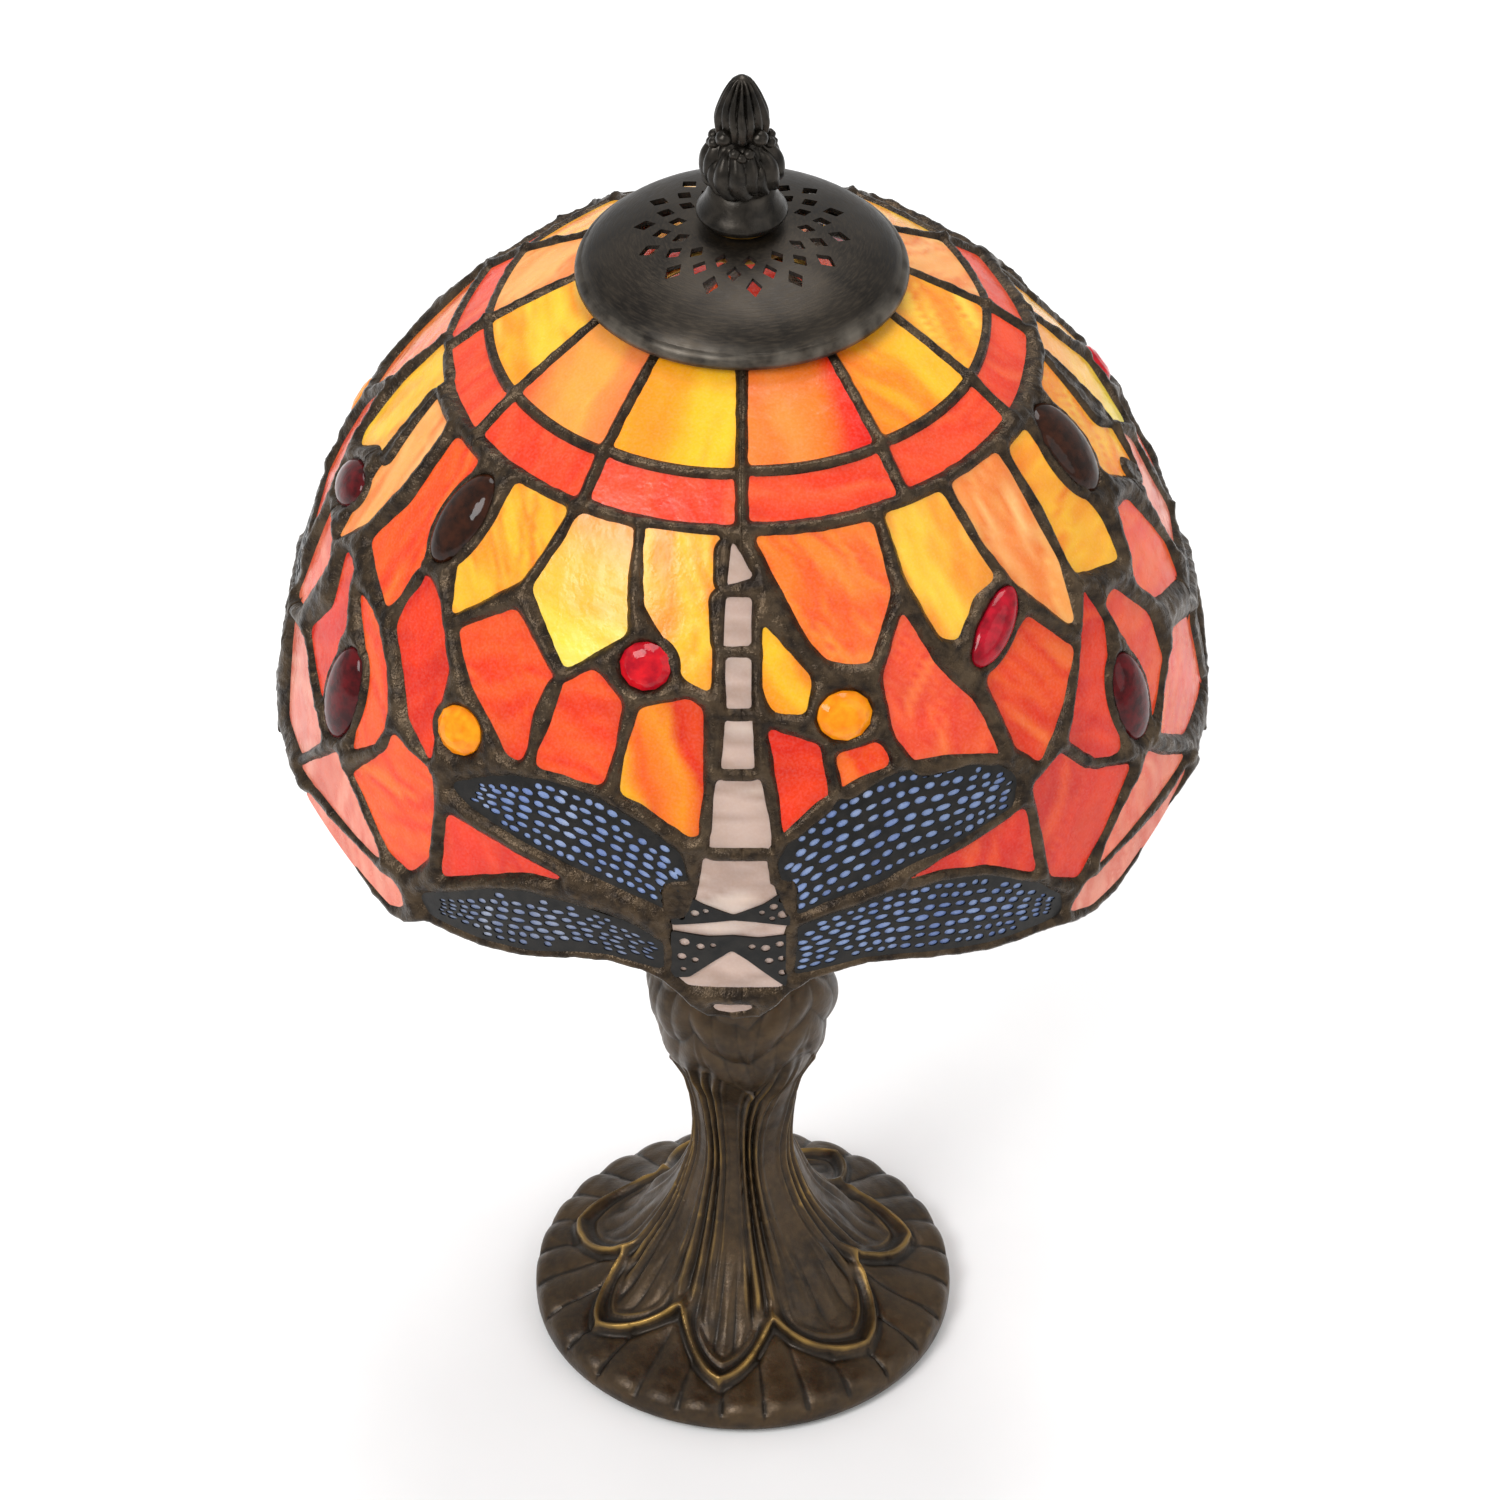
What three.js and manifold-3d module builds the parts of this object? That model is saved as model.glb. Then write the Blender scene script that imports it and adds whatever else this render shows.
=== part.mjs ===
// Stained glass table lamp: a leaded dome shade on a harp, over a cast column and foot.
// Millimetres, +Z up. The origin is the centre of the felt pad's underside.
import * as THREE from 'three';
import { mergeVertices } from 'three/addons/utils/BufferGeometryUtils.js';
import Module from 'manifold-3d';

const wasm = await Module();
wasm.setup();
const { Manifold, Mesh: SolidMesh } = wasm;

// ---- Driving dimensions ------------------------------------------------------------------
const CLEARANCE = 0.3; // between neighbouring pieces
const ROUND_SIDES = 16; // sides of a small turned piece
const WIDE_SIDES = 24; // sides of a wide turned piece

// Dome: an elliptical arc turned about the lamp's axis, height angle 0 at the rim.
const DOME_RADIUS = 102.5;
const DOME_HEIGHT = 123.5;
const DOME_SPRING_Z = 180;
const GLASS_THICKNESS = 3;
const LEAD_HALF_WIDTH = 1.7;
// How far the solder bead stands inside and outside the glass face. Rings are the fullest,
// and each of the others ends inside a fuller one.
const RING_BEAD = [-4.1, 1.6];
const OUTLINE_BEAD = [-3.9, 1.4];
const BAR_BEAD = [-3.7, 1.2];
const GLASS_CLEARANCE = 0.6; // glass edge to lead, with room for the facets
const FACET_ANGLE = 10; // longest facet on the dome, degrees
const RING_SIDES = 40; // sides of a lead ring
const SHARPEST_MITER = 0.5; // keeps the points of sharp corners short
const ROUNDING = 1e-3; // of places in the pattern

// Height angles of the shade's rings, degrees.
const CROWN_RING = 72.6; // under the vent cap
const BAND_TOP_RING = 58.7;
const BAND_BOTTOM_RING = 52.6;

// Azimuths of the twelve ribs, degrees. 0 faces the front (-Y), positive towards +X.
// They are set by hand on the real shade, so they aren't quite even.
const RIB_AZIMUTHS = [-149, -120, -91, -62, -32, 0, 33, 66, 95, 124, 153, 182];
const DRAGONFLY_AZIMUTHS = [-120, 0, 120];

// Vent cap
const CAP_RADIUS = 35.6;
const CAP_RIM_Z = 298;
const CAP_RISE = 14;
const CAP_THICKNESS = 1.2;
const CAP_HOLE_COUNT = 14;
const CAP_HOLE_ROWS = [
  { radius: 13.5, side: 2.3, stagger: 0 },
  { radius: 16.8, side: 2.3, stagger: 0.5 },
  { radius: 20.2, side: 3.0, stagger: 0 },
];

// Stem, pipe and stud
const COLUMN_TOP_Z = 114;
const PIPE_RADIUS = 4.9;
const PIPE_BORE = 3.2;
const PIPE_HOLE = 5.3;
const STUD_RADIUS = 3.1;
const STUD_HOLE = 3.5;

// Harp
const HARP_FOOT_X = 24;
const HARP_WIRE_RADIUS = 1.6;
const HARP_TOP_Z = 303.6;

// Bushing where the lead enters the foot, at the back
const BUSHING_Z = 5.2;
const BUSHING_HOLE = 3.0;

// ---- Geometry helpers --------------------------------------------------------------------
function toSolid(geometry) {
  const bare = geometry.clone();
  bare.deleteAttribute('normal');
  bare.deleteAttribute('uv');
  const merged = mergeVertices(bare, 1e-4);
  return new Manifold(new SolidMesh({
    numProp: 3,
    vertProperties: Float32Array.from(merged.attributes.position.array),
    triVerts: Uint32Array.from(merged.index.array),
  }));
}

function toGeometry(solid) {
  const mesh = solid.getMesh();
  const geometry = new THREE.BufferGeometry();
  geometry.setAttribute('position', new THREE.BufferAttribute(mesh.vertProperties, 3));
  geometry.setIndex(new THREE.BufferAttribute(mesh.triVerts, 1));
  return geometry;
}

// Turns a profile of [radius, z] points about Z. A profile off the axis closes on itself.
function turned(profile, sides = ROUND_SIDES) {
  const offAxis = profile[0][0] > 0;
  const loop = offAxis ? [...profile, profile[0]] : profile;
  let area = 0;
  for (let i = 1; i < loop.length; i += 1) {
    area += loop[i - 1][0] * loop[i][1] - loop[i][0] * loop[i - 1][1];
  }
  const ordered = area < 0 ? [...loop].reverse() : loop;
  const points = ordered.map(([r, z]) => new THREE.Vector2(r, z));
  return new THREE.LatheGeometry(points, sides).rotateX(Math.PI / 2);
}

function tube(outer, inner, bottom, top, sides = ROUND_SIDES) {
  return turned([[inner, bottom], [outer, bottom], [outer, top], [inner, top]], sides);
}

function disc(radius, bottom, top, sides = ROUND_SIDES) {
  return turned([[0, bottom], [radius, bottom], [radius, top], [0, top]], sides);
}

function rod(radius, length, sides = ROUND_SIDES) {
  return new THREE.CylinderGeometry(radius, radius, length, sides);
}

// ---- Dome coordinates --------------------------------------------------------------------
// A point of the shade is [azimuth, height angle] in degrees, with an offset along the
// dome's outward normal. Panes and leads are cut flat in these coordinates, then bent.
function bendToDome(azimuth, height, offset) {
  const a = THREE.MathUtils.degToRad(azimuth);
  const h = THREE.MathUtils.degToRad(height);
  const normalR = Math.cos(h) / DOME_RADIUS;
  const normalZ = Math.sin(h) / DOME_HEIGHT;
  const scale = offset / Math.hypot(normalR, normalZ);
  const r = DOME_RADIUS * Math.cos(h) + normalR * scale;
  const z = DOME_SPRING_Z + DOME_HEIGHT * Math.sin(h) + normalZ * scale;
  return [r * Math.sin(a), -r * Math.cos(a), z];
}

// Millimetres per degree of azimuth and of height angle, at a height angle.
function degreeSizes(height) {
  const h = THREE.MathUtils.degToRad(height);
  const radian = Math.PI / 180;
  return [
    DOME_RADIUS * Math.cos(h) * radian,
    Math.hypot(DOME_RADIUS * Math.sin(h), DOME_HEIGHT * Math.cos(h)) * radian,
  ];
}

function slab(outline, low, high) {
  const shape = new THREE.Shape(outline.map(([x, y]) => new THREE.Vector2(x, y)));
  const options = { depth: high - low, bevelEnabled: false };
  return toSolid(new THREE.ExtrudeGeometry(shape, options).translate(0, 0, low));
}

// Moves each point of a path sideways by a distance in millimetres, to the path's right.
// A closed path joins its last point to its first.
function sideways(path, distance, closed) {
  return path.map((point, i) => {
    const [sizeX, sizeY] = degreeSizes(point[1]);
    const heading = (from, to) => {
      const along = [(to[0] - from[0]) * sizeX, (to[1] - from[1]) * sizeY];
      const length = Math.hypot(...along);
      return [along[0] / length, along[1] / length];
    };
    const before = path[i - 1] ?? (closed ? path.at(-1) : null);
    const after = path[i + 1] ?? (closed ? path[0] : null);
    const first = before ? heading(before, point) : heading(point, after);
    const second = after ? heading(point, after) : first;
    const miter = Math.max(1 + first[0] * second[0] + first[1] * second[1], SHARPEST_MITER);
    const normal = [(first[1] + second[1]) / miter, -(first[0] + second[0]) / miter];
    return [point[0] + distance * normal[0] / sizeX, point[1] + distance * normal[1] / sizeY];
  });
}

function bar(path, halfWidth) {
  return [...sideways(path, halfWidth, false), ...sideways(path, -halfWidth, false).reverse()];
}

// Splits triangles until no edge is wider than FACET_ANGLE across the dome.
function facetted(solid) {
  const mesh = solid.getMesh();
  const rounded = (value) => Math.round(value / ROUNDING) * ROUNDING;
  const corner = (index) => Array.from(mesh.vertProperties.slice(3 * index, 3 * index + 3), rounded);
  const width = (p, q) => Math.hypot(p[0] - q[0], p[1] - q[1]);
  const triangles = [];
  const split = (a, b, c) => {
    const sides = [width(a, b), width(b, c), width(c, a)];
    const longest = Math.max(...sides);
    if (longest <= FACET_ANGLE) {
      triangles.push([a, b, c]);
      return;
    }
    const [p, q, r] = [[a, b, c], [b, c, a], [c, a, b]][sides.indexOf(longest)];
    const middle = p.map((value, k) => (value + q[k]) / 2);
    split(p, middle, r);
    split(middle, q, r);
  };
  for (let t = 0; t < mesh.triVerts.length; t += 3) {
    split(...[0, 1, 2].map((k) => corner(mesh.triVerts[t + k])));
  }
  return triangles;
}

// Bends the triangles to the dome, and drops the ones that rounding has closed up.
function bentGeometry(triangles) {
  const positions = triangles.flat().flatMap((point) => bendToDome(...point));
  const geometry = new THREE.BufferGeometry();
  geometry.setAttribute('position', new THREE.Float32BufferAttribute(positions, 3));
  const merged = mergeVertices(geometry, ROUNDING);
  const index = [];
  for (let t = 0; t < merged.index.count; t += 3) {
    const corners = Array.from(merged.index.array.slice(t, t + 3));
    if (new Set(corners).size === 3) index.push(...corners);
  }
  merged.setIndex(index);
  return merged;
}

// ---- Pattern of the shade ----------------------------------------------------------------
// Half of one dragonfly's outline, on its right, about its own centre line.
const TAIL_SIDE = [[4.6, 47.5], [3.9, 41], [3.4, 34], [4, 27], [5.2, 20.8]];
const UPPER_WING = [
  [9, 22], [15, 24.8], [22, 25.8], [31, 24.2], [38.5, 19.8], [30, 16.8], [19, 15.8], [10.5, 13],
];
const LOWER_WING = [[18, 11.9], [25, 12.2], [31, 11.2], [37, 8.4], [42.5, 3.6]];
// Rim from the lower wing's root to its tip, and on to the seam between two repeats.
const WING_RIM = [[41, 1.4], [33, 1.9], [25, 3.1], [16, 4.2], [8, 3.6], [3.6, 1.6]];
const OUTER_RIM = [[48, 0.2], [54, 1.1], [60, 2.3]];
const HEAD_TIP = [0, 0];
const TAIL_TIP = [0, 51.2];
const FIELD_TOP = [1.3, BAND_BOTTOM_RING]; // where the tail's lead meets the ring
const REPEAT_HALF_WIDTH = 60;

function at(azimuth, points) {
  return points.map(([x, y]) => [azimuth + x, y]);
}

function mirrored(points) {
  return points.map(([x, y]) => [-x, y]);
}

// Outlines run clockwise seen from outside, so their right side is the inside.
function dragonflyOutline() {
  const right = [...TAIL_SIDE, ...UPPER_WING, ...LOWER_WING, ...WING_RIM];
  return [TAIL_TIP, ...right, HEAD_TIP, ...mirrored(right).reverse()];
}

// Everything beside one dragonfly on its right, up to the seam with the next repeat.
function fieldOutline() {
  const wingEdge = [...TAIL_SIDE, ...UPPER_WING, ...LOWER_WING];
  const outline = [
    FIELD_TOP, ...wingEdge, ...OUTER_RIM,
    [REPEAT_HALF_WIDTH, BAND_BOTTOM_RING], [30, BAND_BOTTOM_RING],
  ];
  return outline.reverse();
}

// A pane of a ring, between two ribs and two height angles.
function ringPane(left, right, low, high) {
  const middle = (left + right) / 2;
  return [[left, low], [left, high], [middle, high], [right, high], [right, low], [middle, low]];
}

function panes() {
  const list = [];
  RIB_AZIMUTHS.forEach((azimuth, i) => {
    const next = RIB_AZIMUTHS[i + 1] ?? RIB_AZIMUTHS[0] + 360;
    const number = String(i + 1).padStart(2, '0');
    list.push({
      name: `crown_pane_${number}`,
      outline: ringPane(azimuth, next, BAND_TOP_RING, CROWN_RING),
      color: 0xf2a12b,
    }, {
      name: `band_pane_${number}`,
      outline: ringPane(azimuth, next, BAND_BOTTOM_RING, BAND_TOP_RING),
      color: 0xe0452a,
    });
  });
  DRAGONFLY_AZIMUTHS.forEach((azimuth, i) => {
    list.push({
      name: `dragonfly_glass_${i + 1}`,
      outline: at(azimuth, dragonflyOutline()),
      color: 0x8f9fc8,
    }, {
      name: `field_glass_${i + 1}_right`,
      outline: at(azimuth, fieldOutline()),
      color: 0xee6a35,
    }, {
      name: `field_glass_${i + 1}_left`,
      outline: at(azimuth, mirrored(fieldOutline()).reverse()),
      color: 0xe85a3a,
    });
  });
  return list;
}

function paneGeometry(outline) {
  const edge = sideways(outline, LEAD_HALF_WIDTH + GLASS_CLEARANCE, true);
  return bentGeometry(facetted(slab(edge, -GLASS_THICKNESS, 0)));
}

// A lead ring right round the dome, at one height angle.
function leadRing(height) {
  const half = LEAD_HALF_WIDTH / degreeSizes(height)[1];
  const corner = (side, offset) => {
    const [, y, z] = bendToDome(0, height + side * half, offset);
    return [-y, z];
  };
  const [low, high] = RING_BEAD;
  return turned([corner(-1, low), corner(-1, high), corner(1, high), corner(1, low)], RING_SIDES);
}

function bentLead(flatLead) {
  return toSolid(bentGeometry(facetted(flatLead)));
}

function leadingGeometry() {
  const rings = [BAND_BOTTOM_RING, BAND_TOP_RING, CROWN_RING].map((ring) => toSolid(leadRing(ring)));
  const ribs = RIB_AZIMUTHS.map((rib) => [[rib, BAND_BOTTOM_RING], [rib, BAND_TOP_RING], [rib, CROWN_RING]]);
  const outerRim = [LOWER_WING.at(-1), ...OUTER_RIM];
  const repeatSeam = [OUTER_RIM.at(-1), [REPEAT_HALF_WIDTH, BAND_BOTTOM_RING]];
  const lines = DRAGONFLY_AZIMUTHS.flatMap((middle) => [
    at(middle, outerRim), at(middle, mirrored(outerRim)), at(middle, repeatSeam),
  ]);
  const bars = [...ribs, ...lines].map((path) => (
    bentLead(slab(bar(path, LEAD_HALF_WIDTH), ...BAR_BEAD))
  ));
  const loops = DRAGONFLY_AZIMUTHS.map((middle) => {
    const outline = at(middle, dragonflyOutline());
    const outside = slab(sideways(outline, -LEAD_HALF_WIDTH, true), ...OUTLINE_BEAD);
    const opening = slab(sideways(outline, LEAD_HALF_WIDTH, true), -GLASS_THICKNESS * 2, GLASS_THICKNESS);
    return bentLead(outside.subtract(opening));
  });
  return toGeometry(Manifold.union([...rings, ...bars, ...loops]));
}

// ---- Shade hardware ----------------------------------------------------------------------
function capHeight(radius) {
  return CAP_RIM_Z + CAP_RISE * Math.sqrt(1 - (radius / CAP_RADIUS) ** 2);
}

function ventCap() {
  const radii = [STUD_HOLE, 12, 22, 29, 33, 35.4];
  const outer = radii.map((r) => [r, capHeight(r)]);
  const inner = radii.slice(0, -1).map((r) => [r - 0.02 * r, capHeight(r) - CAP_THICKNESS]);
  inner[0][0] = STUD_HOLE;
  const rim = [[35.4, CAP_RIM_Z], [34.2, CAP_RIM_Z]];
  let cap = toSolid(turned([...outer, ...rim, ...inner.reverse()], WIDE_SIDES));
  for (const row of CAP_HOLE_ROWS) {
    for (let i = 0; i < CAP_HOLE_COUNT; i += 1) {
      const hole = new THREE.BoxGeometry(row.side, row.side, 2 * CAP_RISE);
      hole.rotateZ(Math.PI / 4).translate(0, -row.radius, CAP_RIM_Z + CAP_RISE);
      hole.rotateZ(2 * Math.PI * (i + row.stagger) / CAP_HOLE_COUNT);
      cap = cap.subtract(toSolid(hole));
    }
  }
  return toGeometry(cap);
}

function finial() {
  const body = turned([
    [0, 313.4], [9, 313.4], [8.6, 315], [6.6, 317], [5.2, 319.2], [7.4, 321.5], [8.7, 325],
    [8.3, 328.5], [6.2, 331.2], [5.4, 332.6], [6, 334.4], [6, 337.5], [5, 342], [2.8, 346], [0, 348.7],
  ]);
  const threadHole = disc(STUD_HOLE, 312, 325.5);
  return toGeometry(toSolid(body).subtract(toSolid(threadHole)));
}

function harpTopStud() {
  return turned([
    [0, 305.5], [6, 305.5], [6, 308.1], [STUD_RADIUS, 308.1], [STUD_RADIUS, 324.5], [0, 324.5],
  ]);
}

function harpWire() {
  const half = [
    [24, 131.5], [24, 140], [24, 150], [27, 160], [34, 172], [40, 188], [43, 208],
    [43, 236], [39, 262], [30, 284], [16, 299],
  ];
  const left = half.map(([x, z]) => new THREE.Vector3(-x, 0, z));
  const right = half.map(([x, z]) => new THREE.Vector3(x, 0, z)).reverse();
  const path = new THREE.CatmullRomCurve3([...left, new THREE.Vector3(0, 0, HARP_TOP_Z), ...right]);
  const section = new THREE.Shape();
  section.absarc(0, 0, HARP_WIRE_RADIUS, 0, 2 * Math.PI);
  return new THREE.ExtrudeGeometry(section, { extrudePath: path, steps: 36, curveSegments: 4 });
}

// A bent strip under the socket, with a tab at each end for the harp's feet.
function harpSaddle() {
  const bottom = 117.3;
  const strip = 1.5;
  const tab = HARP_FOOT_X + 0.8;
  const inside = HARP_FOOT_X - 0.8;
  const profile = new THREE.Shape();
  profile.moveTo(-tab, 131.2);
  [
    [-tab, bottom + 3], [-tab + 2, bottom], [tab - 2, bottom], [tab, bottom + 3], [tab, 131.2],
    [inside, 131.2], [inside, bottom + 4], [inside - 1.4, bottom + strip],
    [-inside + 1.4, bottom + strip], [-inside, bottom + 4], [-inside, 131.2],
  ].forEach(([x, z]) => profile.lineTo(x, z));
  const width = 6;
  const bent = new THREE.ExtrudeGeometry(profile, { depth: width, bevelEnabled: false });
  bent.rotateX(Math.PI / 2).translate(0, width / 2, 0);
  const hole = disc(PIPE_HOLE - 0.2, bottom - 5, bottom + 5);
  const washer = disc(9, bottom, bottom + strip);
  return toGeometry(toSolid(bent).add(toSolid(washer)).subtract(toSolid(hole)));
}

// ---- Column and foot ---------------------------------------------------------------------
function baseCasting() {
  const outside = [
    [49.7, 1.5], [49.7, 5.6], [46.5, 7.8], [40, 10], [30, 16], [20, 27], [15, 38], [11.5, 53],
    [11.7, 60], [13.1, 69], [15.3, 75.6], [18, 82], [20.6, 91], [22, 100.5], [20.6, 106.5], [15, 112],
    [14, COLUMN_TOP_Z],
  ];
  const stemHollow = [
    [PIPE_HOLE, COLUMN_TOP_Z], [PIPE_HOLE, 110.5], [13, 109], [18, 101], [14.6, 84], [9.5, 69],
    [7.8, 57], [10.5, 40], [14, 27], [PIPE_HOLE, 22],
  ];
  const underHollow = [[PIPE_HOLE, 15.6], [24, 15.6], [30, 11.5], [40, 6], [45.5, 3.5], [45.5, 1.5]];
  const casting = turned([...outside, ...stemHollow, ...underHollow], WIDE_SIDES);
  const leadHole = rod(BUSHING_HOLE, 24, 16).translate(0, 42, BUSHING_Z);
  return toGeometry(toSolid(casting).subtract(toSolid(leadHole)));
}

function cordBushing() {
  const bushing = turned([
    [1.9, 36], [BUSHING_HOLE - CLEARANCE, 36], [BUSHING_HOLE - CLEARANCE, 50], [3.5, 50],
    [3.5, 51.2], [1.9, 51.2],
  ], 16);
  return bushing.rotateX(-Math.PI / 2).translate(0, 0, BUSHING_Z);
}

function hexNut() {
  const nut = disc(8.4, 8.5, 13.7, 6);
  return toGeometry(toSolid(nut).subtract(toSolid(disc(PIPE_HOLE - 0.1, 8, 14))));
}

// ---- Socket ------------------------------------------------------------------------------
function socketCap() {
  return turned([
    [5.2, 119.1], [7.6, 119.1], [7.6, 124], [14, 128], [16.6, 132.5], [16.6, 137], [15.6, 137],
    [15.6, 133], [13.2, 129.4], [7.6, 126], [5.2, 126],
  ]);
}

function socketShell() {
  return turned([
    [15.8, 137.3], [16.8, 137.3], [16.8, 176.6], [16.2, 178], [15.4, 178], [15.8, 176.2],
  ]);
}

function socketBody() {
  return turned([[0, 138.5], [15, 138.5], [15, 149], [12, 150], [0, 150]]);
}

function socketContact() {
  return turned([[0, 150.3], [6, 150.3], [6, 151], [3.2, 151.4], [2.4, 153.1], [0, 153.1]]);
}

// ---- Bulb --------------------------------------------------------------------------------
function bulbGlass() {
  const outline = [
    [12, 170], [12.1, 184], [14.4, 191], [20, 202], [27, 216], [30, 230], [28.6, 241], [22.5, 253],
    [12, 260.4], [0, 262.4],
  ];
  const wall = 0.8;
  const inside = [
    [0, 262.4 - wall], [11.8, 259.5], [21.9, 252.4], [27.8, 240.7], [29.2, 230], [26.3, 216.4],
    [19.2, 202.4], [13.6, 191.4], [11.3, 184], [11.2, 170],
  ];
  const points = [...outline, ...inside].map(([r, z]) => new THREE.Vector2(r, z));
  points.push(points[0]);
  return new THREE.LatheGeometry(points, ROUND_SIDES).rotateX(Math.PI / 2);
}

function bulbInsulator() {
  return turned([[0, 155.9], [4.4, 155.9], [11.4, 159.4], [11.4, 160.6], [0, 160.6]]);
}

// ---- Materials ---------------------------------------------------------------------------
const material = (color, roughness, metalness) => (
  new THREE.MeshStandardMaterial({ color, roughness, metalness })
);
const BRONZE = material(0x3a2c20, 0.5, 0.7);
const DARK_METAL = material(0x2b2724, 0.45, 0.8);
const LEAD = material(0x3b332b, 0.4, 0.8);
const BRASS = material(0xc8a050, 0.3, 1);
const STEEL = material(0xb0b2b4, 0.35, 1);
const FELT = material(0x2f5138, 0.95, 0);
const PHENOLIC = material(0x20201f, 0.5, 0);
const FROSTED = material(0xf4f1e8, 0.5, 0);

// ---- Assembly ----------------------------------------------------------------------------
const lamp = new THREE.Group();

function add(name, geometry, finish) {
  const mesh = new THREE.Mesh(geometry, finish);
  mesh.name = name;
  lamp.add(mesh);
  return mesh;
}

add('base_felt_pad', disc(47, 0, 1.2, WIDE_SIDES), FELT);
add('base_casting', baseCasting(), BRONZE);
add('cord_bushing', cordBushing(), PHENOLIC);
add('bottom_hex_nut', hexNut(), STEEL);
add('bottom_lock_washer', tube(11, PIPE_HOLE, 14, 15.3), STEEL);
add('threaded_pipe', tube(PIPE_RADIUS, PIPE_BORE, 6, 130), STEEL);
add('column_check_ring', tube(11, PIPE_HOLE, COLUMN_TOP_Z + CLEARANCE, 117), BRASS);

add('harp_saddle', harpSaddle(), BRASS);
add('harp_wire', harpWire(), BRASS);
for (const [side, x] of [['left', -HARP_FOOT_X], ['right', HARP_FOOT_X]]) {
  add(`harp_sleeve_${side}`, tube(4.6, 3.6, 124, 136, 16), BRASS).position.x = x;
}
add('harp_top_stud', harpTopStud(), BRASS);

add('socket_cap', socketCap(), BRASS);
add('socket_body', socketBody(), PHENOLIC);
add('socket_shell', socketShell(), BRASS);
add('socket_screw_shell', tube(14.2, 13.6, 150.3, 176.5), BRASS);
add('socket_centre_contact', socketContact(), BRASS);

add('bulb_tip_contact', disc(3.6, 153.4, 155.6), STEEL);
add('bulb_insulator', bulbInsulator(), PHENOLIC);
add('bulb_screw_base', tube(13.1, 12.5, 160.9, 183), STEEL);
add('bulb_glass', bulbGlass(), FROSTED);

for (const { name, outline, color } of panes()) {
  add(name, paneGeometry(outline), material(color, 0.2, 0));
}
add('shade_leading', leadingGeometry(), LEAD);
add('shade_rest_washer', tube(11, STUD_HOLE, 308.4, 309.6), BRASS);
add('shade_vent_cap', ventCap(), DARK_METAL);
add('finial_washer', tube(7.4, STUD_HOLE, 312.3, 313.1), BRASS);
add('finial', finial(), DARK_METAL);

export default lamp;
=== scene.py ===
"""Stained glass table lamp: a leaded dragonfly shade on a cast bronze stem and foot."""

import math
import random

import bmesh
import bpy
import numpy as np
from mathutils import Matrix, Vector, geometry, noise


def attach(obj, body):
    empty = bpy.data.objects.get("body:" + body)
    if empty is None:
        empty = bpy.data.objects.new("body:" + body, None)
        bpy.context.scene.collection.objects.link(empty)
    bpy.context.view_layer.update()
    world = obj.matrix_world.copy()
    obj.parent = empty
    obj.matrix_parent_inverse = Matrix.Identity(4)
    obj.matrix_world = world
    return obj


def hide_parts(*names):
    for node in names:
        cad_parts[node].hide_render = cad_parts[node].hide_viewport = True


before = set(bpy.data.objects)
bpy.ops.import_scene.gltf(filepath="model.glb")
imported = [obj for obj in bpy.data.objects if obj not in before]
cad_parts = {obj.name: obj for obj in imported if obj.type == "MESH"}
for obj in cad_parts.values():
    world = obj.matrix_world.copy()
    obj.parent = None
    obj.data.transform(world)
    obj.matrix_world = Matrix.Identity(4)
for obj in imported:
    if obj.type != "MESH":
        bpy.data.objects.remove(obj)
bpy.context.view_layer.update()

MM = 0.001
RADIAN = math.pi / 180
rng = random.Random(41)

# ---- Dome ---------------------------------------------------------------------------------
# Places on the shade are (azimuth, height angle) in degrees. Azimuth 0 is the front (-Y) and
# grows towards +X; height angle 0 is the dome's widest line, which the rim wanders about.
# Offsets are millimetres along the outward normal. All other lengths are millimetres too.
DOME_RADIUS = 102.5
DOME_HEIGHT = 123.5
DOME_SPRING_Z = 180.0
GLASS_THICKNESS = 3.0
SHADE_TOP = 73.4  # height angle where the lead ends, under the vent cap
CROWN_TOP = 71.6
BAND_TOP = 58.9
BAND_BOTTOM = 52.7

# Lead
LEAD_COLUMNS = 1080
LEAD_ROWS = 236
LEAD_SECTORS = 6
LEAD_LAP = 1.2  # how far lead and glass overlap at an edge
LEAD_TRIM = 0.25  # how far the glass shows past its outline before the lead starts
LEAD_REACH = 8.0  # how far round a piece the lead takes its shape from it
LEAD_EDGE_ROUND = 1.5  # radius of the rim and the top edge
HIGHEST_MARGIN = 72  # height angle above which that reach stops widening
NARROWEST_LEAD = 2.2
FULLEST_BEAD = 1.7
FAR = 30.0
GLASS_DEPTH = 1.32  # above 1, thicker glass with deeper colour

CAP_RADIUS = 35.6
CAP_RIM_Z = 298.0
CAP_RISE = 14.0
CAP_THICKNESS = 1.1
CAP_HOLES = 14
# Radius of the row, width and length of its diamonds, place of the first as a share of the spacing
CAP_HOLE_ROWS = [(13.6, 3.0, 4.2, 0.28), (17.0, 3.3, 4.3, 0.78), (20.6, 3.6, 5.0, 0.28)]


def per_degree(height):
    """Millimetres per degree of azimuth and of height angle."""
    h = np.radians(height)
    across = DOME_RADIUS * np.cos(h) * RADIAN
    up = np.hypot(DOME_RADIUS * np.sin(h), DOME_HEIGHT * np.cos(h)) * RADIAN
    return across, up


def on_dome(azimuth, height, offset):
    """The point at a place on the dome, moved out along the normal."""
    a, h = np.radians(azimuth), np.radians(height)
    normal_r, normal_z = np.cos(h) / DOME_RADIUS, np.sin(h) / DOME_HEIGHT
    scale = offset / np.hypot(normal_r, normal_z)
    r = DOME_RADIUS * np.cos(h) + normal_r * scale
    z = DOME_SPRING_Z + DOME_HEIGHT * np.sin(h) + normal_z * scale
    return np.stack([r * np.sin(a), -r * np.cos(a), z], axis=-1)


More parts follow.
